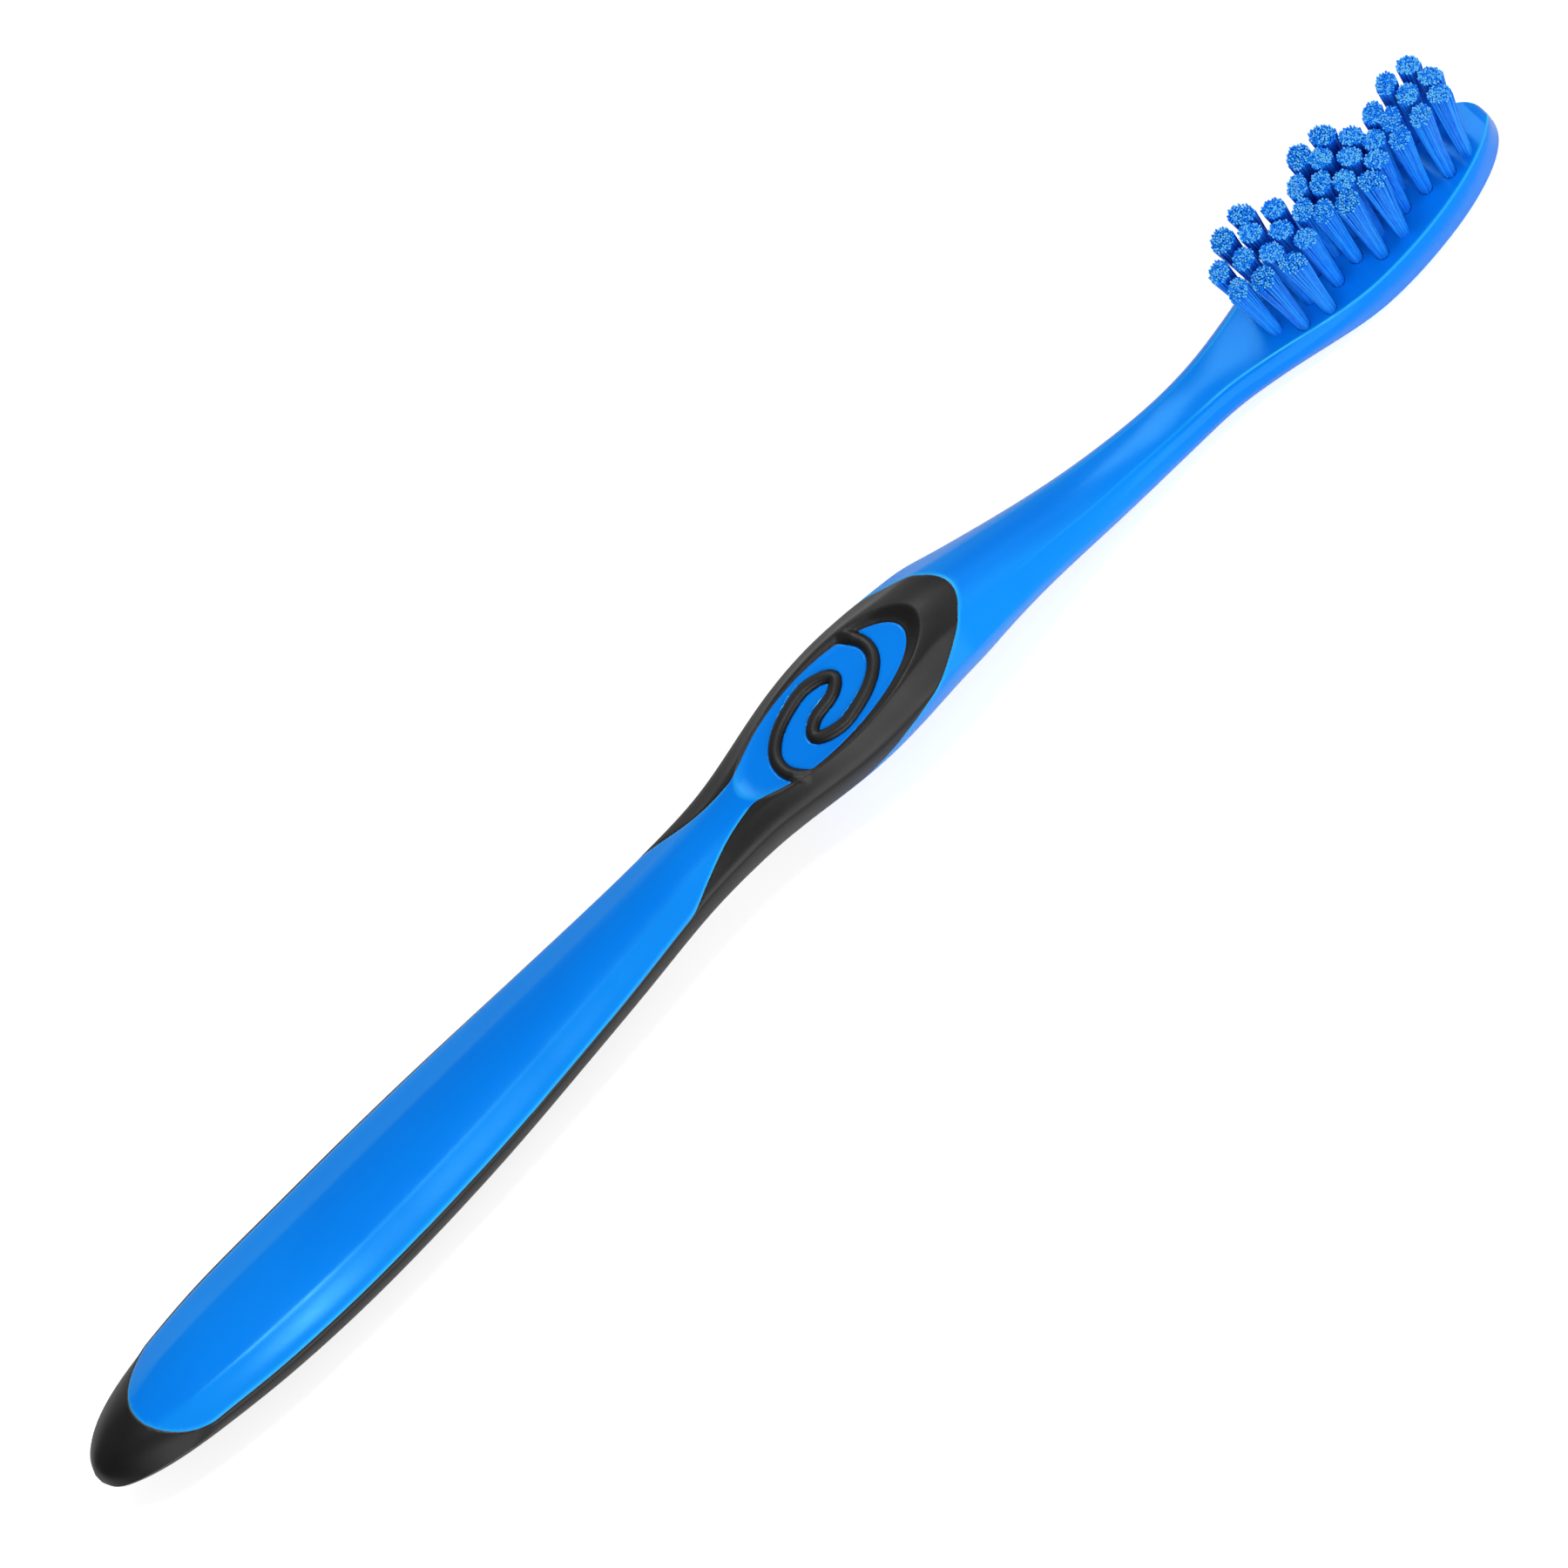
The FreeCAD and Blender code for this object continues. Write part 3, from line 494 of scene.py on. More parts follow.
at_crease = np.zeros(skin.shape[1])
for middle in (0, FRONT_STEPS):
    beside = np.arange(middle - CREASE_POINTS, middle + CREASE_POINTS + 1)
    at_crease[beside % skin.shape[1]] = 1
tail_share = np.clip((TAIL_X + TAIL_FADE_END - skin[:, 0, 0]) / TAIL_FADE_LENGTH, 0, 1)
at_tail = tail_share[:, None, None] * front_side[None, :, None]
for share, rounds in ((at_crease[None, :, None], CREASE_ROUNDS), (at_tail, TAIL_ROUNDS)):
    for _ in range(rounds):
        between = (np.roll(skin, 1, axis=1) + np.roll(skin, -1, axis=1)) / 2
        skin += (between - skin) * share
print("rows that lose their creases:", int((at_tail.max(axis=(1, 2)) > 0).sum()))

# %% [markdown]
# ## Where blue meets black
# The border between core and grip is drawn by one function, positive on blue and negative on black, in
# millimetres from the border. It is put together from plain outlines: the long panel on the front, the neck
# beyond the oval pad, the oval field in the dish, less the spiral ridge. Where the function is nought, the
# mesh gets a row of edges, and that is crisper than any painted mask.

# %% Border function
PANEL_ROUND_X, PANEL_ROUND_LENGTH, PANEL_ROUND_WIDTH = -76.85, 11.0, 14.0
STRIP_END_X, HALF_STRIP = -0.85, 1.75
PAD_X, PAD_LENGTH, PAD_WIDTH = 11.15, 29.8, 15.4
FIELD_X, FIELD_LENGTH, FIELD_WIDTH = 7.95, 22.0, 8.7
PANEL_DROP = 1.5
WIDE_HALF, NARROWING, SIDE_LEAN_SHARE = 12.2, 4, 0.93
PANEL_ROUNDING, NECK_ROUNDING = 0.3, 2.0
PAD_Y, PAD_FAR_SIDE, PAD_LEVEL = -0.25, 0.88, 10.3
# how far along from waist to neck the pad's edge is, and how high
PAD_EDGE = ((0.17, 0.0), (0.23, 0.37), (0.3, 0.7), (0.38, 0.89), (0.44, 0.985), (0.5, 1.08), (0.55, 1.16))
EDGE_MARGIN, EDGE_PLACES, EDGE_PLACE_GAP = 2, 400, 0.0619
FAR_OUTSIDE, TINY = -9, 1e-9
# how far along each stretch the panel narrows, and its half width there, measured in the waist's
HANDLE_SHARES, THUMB_SHARES = ((0.78, 1.75), (0.9, 1.2), (0.97, 0.9)), ((0.08, 0.64), (0.24, 0.45))
STRIP_START_SHARE = 0.4
handle_span, thumb_span = WAIST_X - BELLY_X, THUMB_X - WAIST_X
NARROW = [(BELLY_X + handle_span * along, WAIST[0] * wide) for along, wide in HANDLE_SHARES]
NARROW += [(WAIST_X + thumb_span * along, WAIST[0] * wide) for along, wide in THUMB_SHARES]
NARROW += [(WAIST_X + thumb_span * STRIP_START_SHARE, HALF_STRIP)]


def inside_oval(x, y, centre, length, width):
    """About how far inside an oval a place is."""
    a, b = length / 2, width / 2
    reach = np.sqrt(((x - centre) / a) ** 2 + (y / b) ** 2) + TINY
    slope = np.sqrt(((x - centre) / a ** 2) ** 2 + (y / b ** 2) ** 2) / reach + TINY
    return (1 - reach) / slope


def inside_panel(x, y, z):
    """About how far inside the front panel each point is."""
    knots, halves = np.array(NARROW).T
    half = np.interp(x, (BELLY_X, knots[0] - NARROWING, knots[0]), (WIDE_HALF, WIDE_HALF, halves[0]))
    half = np.where(x >= knots[0], spline(knots, halves, np.clip(x, knots[0], knots[-1])), half)
    half = np.where(x > knots[-1], HALF_STRIP, half)
    sideways = (half - np.abs(y)) * SIDE_LEAN_SHARE
    rounded = inside_oval(x, y, PANEL_ROUND_X, PANEL_ROUND_LENGTH * 2, PANEL_ROUND_WIDTH)
    sideways = np.where(x < PANEL_ROUND_X, rounded, sideways)
    widening = np.interp(x, (PANEL_ROUND_X, BELLY_X), (PANEL_ROUND_WIDTH / 2, WIDE_HALF)) - np.abs(y)
    sideways = np.where((x >= PANEL_ROUND_X) & (x < BELLY_X), widening, sideways)
    sideways = np.minimum(sideways, STRIP_END_X - x)
    station_x = [along for along, _ in stations]
    border = spline(station_x, [section[1] - PANEL_DROP for _, section in stations], x)
    return soft_min(sideways, z - border, PANEL_ROUNDING)


def inside_neck(x, y, z):
    """About how far inside the blue of neck and head each point is."""
    places, ups = np.array(PAD_EDGE).T
    edge_x = WAIST_X + (NECK_X - WAIST_X) * places
    edge = spline(edge_x, PAD_LEVEL * ups, np.clip(x, edge_x[0], edge_x[-1]))
    even_x = np.linspace(edge_x[0], edge_x[-1], EDGE_PLACES)
    slope = np.gradient(spline(edge_x, PAD_LEVEL * ups, even_x), EDGE_PLACE_GAP)
    steep = np.interp(x, even_x, slope)
    below = np.where(x < edge_x[0] - EDGE_MARGIN, FAR_OUTSIDE, (edge - z) / np.sqrt(1 + steep ** 2))
    sideways = np.where(y > PAD_Y, PAD_FAR_SIDE, 1.0) * (y - PAD_Y)
    beyond = -inside_oval(x, sideways, PAD_X, PAD_LENGTH, PAD_WIDTH)
    return soft_max(below, np.where(x > PAD_X, beyond, FAR_OUTSIDE), NECK_ROUNDING)


print("panel narrows over", round(NARROW[-1][0] - NARROW[0][0], 1), "mm")

# %% [markdown]
# The ridge in the dish is a double spiral: one arm, and the same arm turned by half a round. A smooth curve
# runs through the guide points of both. It is kept as short straight pieces, and every point of the skin
# asks how far it is from the nearest of them.

# %% Spiral centre line
SPIRAL_X, SPIRAL_LENGTH, SPIRAL_WIDTH = 8.15, 14.4, 7.6
RIDGE_WIDTH, RIDGE_HEIGHT = 1.44, 0.45
# guide points along and across, as shares of half the spiral's length and width
ARM = ((0.0, 0.0), (0.2, 0.075), (0.372, 0.375), (0.081, 0.745), (-0.287, 0.715), (-0.575, 0.55),
       (-0.81, 0.29), (-0.955, -0.04), (-0.985, -0.5), (-0.79, -1.13))
SPIRAL_PIECES, FAR = 120, 99.0

guide = np.array([(-x, -y) for x, y in ARM[:0:-1]] + list(ARM)) * (SPIRAL_LENGTH / 2, SPIRAL_WIDTH / 2)
guide_travel = np.concatenate([[0], np.cumsum(np.linalg.norm(np.diff(guide, axis=0), axis=1))])
spiral_travel = np.linspace(0, guide_travel[-1], SPIRAL_PIECES)
centre_line = spline(guide_travel, guide, spiral_travel) + (SPIRAL_X, 0)
arm_length = guide_travel[-1] / 2


def from_spiral(x, y):
    """Distance from the ridge's centre line, and how far out along its arm the nearest place is."""
    distance, out = np.full(x.shape, FAR), np.zeros(x.shape)
    piece_length = spiral_travel[1]
    for travelled, start, end in zip(spiral_travel, centre_line, centre_line[1:]):
        step = end - start
        share = np.clip(((x - start[0]) * step[0] + (y - start[1]) * step[1]) / (step @ step), 0, 1)
        here = np.hypot(x - start[0] - share * step[0], y - start[1] - share * step[1])
        out = np.where(here < distance, abs(travelled + share * piece_length - arm_length), out)
        distance = np.minimum(distance, here)
    return distance, out


print("one arm of the spiral is", round(float(arm_length), 1), "mm long")

# %% Border value of every point
JOIN_ROUNDING, FIELD_ROUNDING, RIDGE_ROUNDING = 0.3, 1.4, 0.2
FRONT_LEVEL, SPIRAL_NEAR_X, SPIRAL_NEAR_Y = 9, 9, 6


def border_value(points):
    """Millimetres into the blue, negative in the black, and the ridge's distance and travel."""
    x, y, z = points.T
    in_front = z > FRONT_LEVEL
    value = soft_max(inside_panel(x, y, z), inside_neck(x, y, z), JOIN_ROUNDING)
    field = np.where(in_front, inside_oval(x, y, FIELD_X, FIELD_LENGTH, FIELD_WIDTH), FAR_OUTSIDE)
    value = soft_max(value, field, FIELD_ROUNDING)
    distance, along = np.full(len(x), FAR), np.zeros(len(x))
    close = (np.abs(x - SPIRAL_X) < SPIRAL_NEAR_X) & (np.abs(y) < SPIRAL_NEAR_Y) & in_front
    distance[close], along[close] = from_spiral(x[close], y[close])
    return soft_min(value, distance - RIDGE_WIDTH / 2, RIDGE_ROUNDING), distance, along


rows, around = skin.shape[:2]
values = border_value(skin.reshape(-1, 3))[0]
print("blue share of the points:", round(float((values > 0).mean()), 2))

# %% [markdown]
# ## Cutting the skin along the border
# The grid is made a mesh and closed at both ends. Then every edge that crosses a chosen border value is
# split there, and each face it belongs to is split from cut to cut. The same is done a little to both
# sides, which gives the narrow strips that the seam's groove is made from.

# %% Skin mesh, split along the border
SEAM_REACH, SNAP, WELD = 0.16, 0.012, 0.0005
SEAM_LINES = (0.0, SEAM_REACH, -SEAM_REACH, -0.36)


def cut_along(mesh, layer, level):
    """A row of edges where the layer's value is this level."""
    for corner in mesh.verts:
        if abs(corner[layer] - level) < SNAP:
            corner[layer] = level
    crossing = [e for e in mesh.edges if (e.verts[0][layer] - level) * (e.verts[1][layer] - level) < 0]
    for edge in crossing:
        start, end = edge.verts
        share = (level - start[layer]) / (end[layer] - start[layer])
        corner = bmesh.utils.edge_split(edge, start, share)[1]
        corner[layer] = level
    for face in list(mesh.faces):
        signs = [corner[layer] - level for corner in face.verts]
        if min(signs) < 0 < max(signs):
            cuts = [corner for corner in face.verts if corner[layer] == level]
            for first, second in zip(cuts[::2], cuts[1::2]):
                owner = next((f for f in first.link_faces if second in f.verts), None)
                if owner and not mesh.edges.get((first, second)):
                    bmesh.utils.face_split(owner, first, second)


whole = bmesh.new()
border_layer = whole.verts.layers.float.new("border")
lip_layer = whole.verts.layers.float.new("lip")
corners = [whole.verts.new(point) for point in skin.reshape(-1, 3)]
# each point keeps its border value and its share of the lip's painted highlight
for corner, value, lip_highlight in zip(corners, values, lip.ravel()):
    corner[border_layer], corner[lip_layer] = value, lip_highlight
for row in range(rows - 1):
    for step in range(around):
        beside = (step + 1) % around
        whole.faces.new([corners[row * around + step], corners[row * around + beside],
                         corners[(row + 1) * around + beside], corners[(row + 1) * around + step]])
for row in (0, rows - 1):
    ring = corners[row * around:(row + 1) * around]
    pole = whole.verts.new(skin[row].mean(axis=0))
    pole[border_layer] = values[row * around]
    for step in range(around):
        whole.faces.new([pole, ring[step], ring[(step + 1) % around]])
bmesh.ops.remove_doubles(whole, verts=whole.verts, dist=WELD)
bmesh.ops.recalc_face_normals(whole, faces=whole.faces)
for line in SEAM_LINES:
    cut_along(whole, border_layer, line)
bmesh.ops.triangulate(whole, faces=[f for f in whole.faces if len(f.verts) > 4])
print("skin mesh:", len(whole.verts), "points,", len(whole.faces), "faces")

# %% [markdown]
# ## Core and grip from the same skin
# On the real brush the rubber is shot over the finished core, which has a step for it to end against. Both
# are built that way here. The core keeps the skin where it is blue and drops below it where the rubber
# goes. The grip is the black part of the skin with a wall under it. A tiny groove along the border gives
# the thin bright and dark line that such a joint shows, and the spiral rises as a rounded bead.

# %% Finished surface and the floor under the rubber
SEAM_DEPTH, SEAM_POWER = 0.06, 1.6
BEAD_POWER, BEAD_FULLNESS, BEAD_FADE = 2.2, 0.6, 1.6
THINNEST, THICKEST, THICKENING = 0.15, 0.8, 0.12
whole.verts.ensure_lookup_table()
base = np.array([corner.co for corner in whole.verts])
normal = np.array([corner.normal for corner in whole.verts])
border = np.array([corner[border_layer] for corner in whole.verts])
_, ridge_distance, ridge_travel = border_value(base)
groove = SEAM_DEPTH * np.clip(1 - np.abs(border) / SEAM_REACH, 0, 1) ** SEAM_POWER
bead = np.clip(1 - (ridge_distance / (RIDGE_WIDTH / 2)) ** BEAD_POWER, 0, 1) ** BEAD_FULLNESS
bead *= np.clip((arm_length - ridge_travel) / BEAD_FADE, 0, 1)
surface = base - normal * groove[:, None]
surface[:, 2] += bead * RIDGE_HEIGHT
under_depth = np.clip(THINNEST + THICKENING * (base[:, 0] - TAIL_X), THINNEST, THICKEST)
floor_points = base - normal * under_depth[:, None]
print("highest point of the spiral:", round(float(surface[bead > 0.5, 2].max()), 2), "mm")

# %% [markdown]
# ## Painted highlights on edges
# The creases, the border and the lip of the dish catch thin lines of light, and here those highlights are
# painted: each point stores a number that both materials use to mix a paler colour into their own. It is high
# on the creases of the head and along the border, lower on the creases of the neck and on the lip of the dish,
# and lowest on the slanted sides of the panel, which are painted a little lighter as if lit from the side.

# %% Painted highlights on edges
CREASE_REACH, CREASE_X, CREASE_SHARES = 0.22, (26, 32, 56, 66), (0, 0.25, 0.3, 0.9)
BORDER_REACH, BORDER_SHARE, DISH_MARGIN = 0.3, 0.6, 3
SLANT_START, SLANT_SHARE, SLANT_FADE = 0.16, 0.11, (40, 56)
x, y, z = base.T
crease_x, crease_y, crease_z = skin[:, FRONT_STEPS].T
from_crease = np.hypot(np.abs(y) - np.interp(x, crease_x, crease_y), z - np.interp(x, crease_x, crease_z))
at_creases = np.clip(1 - from_crease / CREASE_REACH, 0, 1) * np.interp(x, CREASE_X, CREASE_SHARES)
at_border = BORDER_SHARE * np.clip(1 - border / BORDER_REACH, 0, 1)
# the slanted sides of the panel get a faint painted light
slanted = np.clip(np.abs(normal[:, 1]) / SLANT_START - 1, 0, 1) * np.interp(x, SLANT_FADE, (SLANT_SHARE, 0))
in_dish = inside_oval(x, y, FIELD_X, FIELD_LENGTH + DISH_MARGIN, FIELD_WIDTH + DISH_MARGIN) > 0
for paleness in (at_border, slanted):
    paleness[(border < 0) | in_dish] = 0
at_lip = [corner[lip_layer] for corner in whole.verts]
# the strongest of the painted highlights at each point
painted_highlight = np.max([at_creases, at_border, slanted, at_lip], axis=0)
print("palest point:", round(float(painted_highlight.max()), 2), "of 1")

# %% Build a closed piece from the skin
SHARP_DEGREES, FINE_WELD = 42, 0.0002


def closed_piece(name, keep_blue):
    """The core if keep_blue is set, else the grip."""
    count = len(base)
    points = np.vstack([surface, floor_points])
    faces = []
    for face in whole.faces:
        ids = [corner.index for corner in face.verts]
        blue = border[ids].mean() > 0
        if blue == keep_blue:
            faces.append(ids)
        if not blue:
            lowered = [i + count for i in ids]
            faces.append(lowered if keep_blue else lowered[::-1])
    for edge in whole.edges:
        if len(edge.link_faces) != 2:
            continue
        blues = [border[[c.index for c in f.verts]].mean() > 0 for f in edge.link_faces]
        if blues[0] == blues[1]:
            continue
        kept = edge.link_faces[0] if blues[0] == keep_blue else edge.link_faces[1]
        loop = next(l for l in kept.loops if l.edge == edge)
        a, b = loop.vert.index, loop.link_loop_next.vert.index
        faces.append([b, a, a + count, b + count])
    used = sorted({i for ids in faces for i in ids})
    place_of = {old: new for new, old in enumerate(used)}
    mesh = bpy.data.meshes.new(name)
    joined = [[place_of[i] for i in ids] for ids in faces]
    mesh.from_pydata([tuple(points[i] * MM) for i in used], [], joined)
    # the painted highlight is stored on the skin's points, and none on the floor under the rubber
    edge = np.concatenate([painted_highlight, np.zeros(count)])[used]
    mesh.attributes.new("painted_highlight", "FLOAT", "POINT").data.foreach_set("value", edge)
    mesh.validate()
    return add_object(name, mesh)


def tidy_normals(piece):
    """Merges corners, turns faces outwards and shades them smooth, but for sharp edges."""
    tidy = bmesh.new()
    tidy.from_mesh(piece.data)
    bmesh.ops.remove_doubles(tidy, verts=tidy.verts, dist=FINE_WELD * MM)
    bmesh.ops.recalc_face_normals(tidy, faces=tidy.faces)
    open_edges = sum(1 for e in tidy.edges if len(e.link_faces) != 2)
    volume = tidy.calc_volume(signed=True) / MM ** 3
    tidy.to_mesh(piece.data)
    tidy.free()
    piece.data.shade_smooth()
    piece.data.set_sharp_from_angle(angle=math.radians(SHARP_DEGREES))
    print(piece.name, "open edges:", open_edges, "volume in mm3:", round(volume))


core = closed_piece("hard_core", True)
grip = closed_piece("rubber_grip", False)
whole.free()
for piece in (core, grip):
    tidy_normals(piece)

# %% [markdown]
# ## Holes in the head
# Every tuft is folded over a wire and stapled into a blind hole. A Boolean modifier cuts all 35 holes at
# once. Each tool is a turned form: a straight bore with a small chamfer at its mouth, which leaves a fine
# shaded ring round the foot of the tuft.

# %% Places of the tufts
# how far along the head, and how far out to its side
PAIRS = ((0.29, 0.24), (0.344, 0.51), (0.398, 0.27), (0.414, 0.635), (0.473, 0.4), (0.542, 0.335),
         (0.59, 0.605), (0.62, 0.3), (0.66, 0.605), (0.703, 0.32), (0.771, 0.34), (0.836, 0.43),
         (0.898, 0.39))
CENTRES = (0.346, 0.45, 0.514, 0.581, 0.667, 0.731, 0.788, 0.85, 0.914)
tuft_places = {}
for number, (along, side) in enumerate(PAIRS, 1):
    for word, sign in (("left", 1), ("right", -1)):
        tuft_places[f"{word}_{number:02d}"] = (along, sign * side)
for number, along in enumerate(CENTRES, 1):
    tuft_places[f"centre_{number:02d}"] = (along, 0)


def tuft_root(along, side):
    return NECK_X + (TIP_X - NECK_X) * along, side * HEAD[0]


def solid_middle(node):
    """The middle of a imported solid's box, seen from above."""
    return Vector([sum(ends) / MM / 2 for ends in zip(*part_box(node))][:2])


gap = max((Vector(tuft_root(*place)) - solid_middle(f"tuft_{name}")).length
          for name, place in tuft_places.items())
print(len(tuft_places), "tufts; their roots and the solids' middles differ by at most", round(gap, 2), "mm")

# %% Cut the holes
HOLE_RADIUS, HOLE_FLOOR, HOLE_SIDES, CHAMFER = 0.73, 1.4, 24, 0.04
BORE_PROFILE = ((HOLE_RADIUS, HOLE_FLOOR), (HOLE_RADIUS, FACE_LEVEL - CHAMFER / 2),
                (HOLE_RADIUS + CHAMFER, FACE_LEVEL + CHAMFER / 2))

tools = bmesh.new()
turns = [2 * math.pi * i / HOLE_SIDES for i in range(HOLE_SIDES)]
for place in tuft_places.values():
    x, y = tuft_root(*place)
    levels = []
    for radius, level in BORE_PROFILE:
        ring = [Vector((x + radius * math.cos(t), y + radius * math.sin(t), level)) for t in turns]
        levels.append([tools.verts.new(point * MM) for point in ring])
    for low, high in zip(levels, levels[1:]):
        for i in range(HOLE_SIDES):
            j = (i + 1) % HOLE_SIDES
            tools.faces.new([low[i], low[j], high[j], high[i]])
    tools.faces.new(levels[0][::-1])
    tools.faces.new(levels[-1])
tool_mesh = bpy.data.meshes.new("bore_tools")
tools.to_mesh(tool_mesh)
tools.free()
bores = add_object("bore_tools", tool_mesh)
cut = core.modifiers.new("holes", "BOOLEAN")
cut.operation, cut.solver, cut.object = "DIFFERENCE", "EXACT", bores


def applied(piece, name):
    """The piece's evaluated mesh as its own plain mesh, with no modifiers left."""
    depsgraph = bpy.context.evaluated_depsgraph_get()
    mesh = bpy.data.meshes.new_from_object(piece.evaluated_get(depsgraph))
    mesh.name = name
    piece.modifiers.clear()
    piece.data = mesh
    return piece


applied(core, "hard_core")
bpy.data.objects.remove(bores)
tidy_normals(core)
print("core faces:", len(core.data.polygons))

# %% [markdown]
# ## Nylon for the filaments
# Filaments are clear nylon with a little blue in it, so a tuft looks lighter than the plastic behind it. The
# cut tips scatter more light than the shafts and many of them look paler. Each filament also differs a bit
# from the next, and that comes from a number which the Geometry Nodes below store on it.

# %% Filament material
SHAFT, PALER_SHAFT, FIBRE = (0.0005, 0.12, 0.8), (0.006, 0.29, 1.0), (0.05, 0.42, 1.0)
NEAR_TIP, TIP, PALER_TIP = (0.0006, 0.15, 0.92), (0.006, 0.22, 0.97), (0.12, 0.52, 1.0)
# a painted shade that darkens the filaments down towards their roots
PAINTED_ROOT_SHADE, DEEP_LEVEL, LIT_LEVEL = (0.0, 0.09, 0.5), 4.4, 6.6


def filament_nylon(name):
    material, graph, place = new_material(name)
    shade, reach = stored_number(graph, "filament_shade"), stored_number(graph, "filament_reach")
    fibres = noise(graph, scaled(graph, place, (1, 1, 0.05)), scale=9000)
    shaft = graph.mix(shade, SHAFT, PALER_SHAFT)
    shaft = graph.mix(graph.spread(fibres, 0.3, 0.7, 0, 0.4), shaft, FIBRE)
    colour = graph.mix(graph.spread(reach, 0.94, 0.985, 0, 0.4), shaft, NEAR_TIP)
    tip = graph.mix(graph.spread(shade, 0.3, 0.7), TIP, PALER_TIP)
    colour = graph.mix(graph.spread(reach, 0.994, 0.9995), colour, tip)
    # painted shade, full at the lower level and gone at the lit level
    root_shade = graph.spread(graph.axis(place, "Z"), DEEP_LEVEL * MM, LIT_LEVEL * MM, 0.4, 0)
    show_principled(graph, {
        "Base Color": graph.mix(root_shade, colour, PAINTED_ROOT_SHADE), "Roughness": graph.spread(fibres, 0.2, 0.8, 0.28, 0.4),
        "IOR": 1.53, "Specular IOR Level": 0.12, "Specular Tint": (0.1, 0.8, 1, 1),
    })
    return material


nylon = filament_nylon("azure_nylon_filament")
print("made", nylon.name, "with", len(nylon.node_tree.nodes), "nodes")

# %% [markdown]
# ## A tuft of filaments by Geometry Nodes
# A tuft is one rule repeated: filaments stand packed in a round hole and fan out towards their trimmed tips.
# The tree scatters points by the golden angle, puts a short line on each, bends every line from its place
# in the hole to its place at the tip, gives it thickness, and slims the end a little. Its named inputs are
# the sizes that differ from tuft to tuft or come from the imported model, so the same tree makes all 35.

# %% Geometry Nodes tree for a tuft
FILAMENTS, FILAMENT_SIDES = 84, 6
GOLDEN_TURN, SEED_TURN, OUTERMOST = 2.399963, 0.37, 0.965
SWAY, UNEVENNESS, STRAIGHT_SHARE = 0.04, 0.06, 0.72
# rings: in the hole, at its mouth, on the shaft and three close together at the tip
RING_LEVELS = ((0, 0), (0.2, 0.24), (0.4, 0.6), (0.6, 0.985), (0.8, 0.9945), (1, 1))
RING_WIDTHS = ((0, 1), (0.6, 1), (0.8, 0.99), (1, 0.95))
TUFT_INPUTS = (
    ("Geometry", ("Geometry",)), ("Vector", ("Root", "Lean")), ("Int", ("Filaments", "Seed")),
    ("Float", ("Root Radius", "Tip Radius", "Filament Radius", "Trim Level", "Trim Wave", "Trim Pitch",
               "First Crest", "Mouth Level")),
    ("Material", ("Material",)),
)


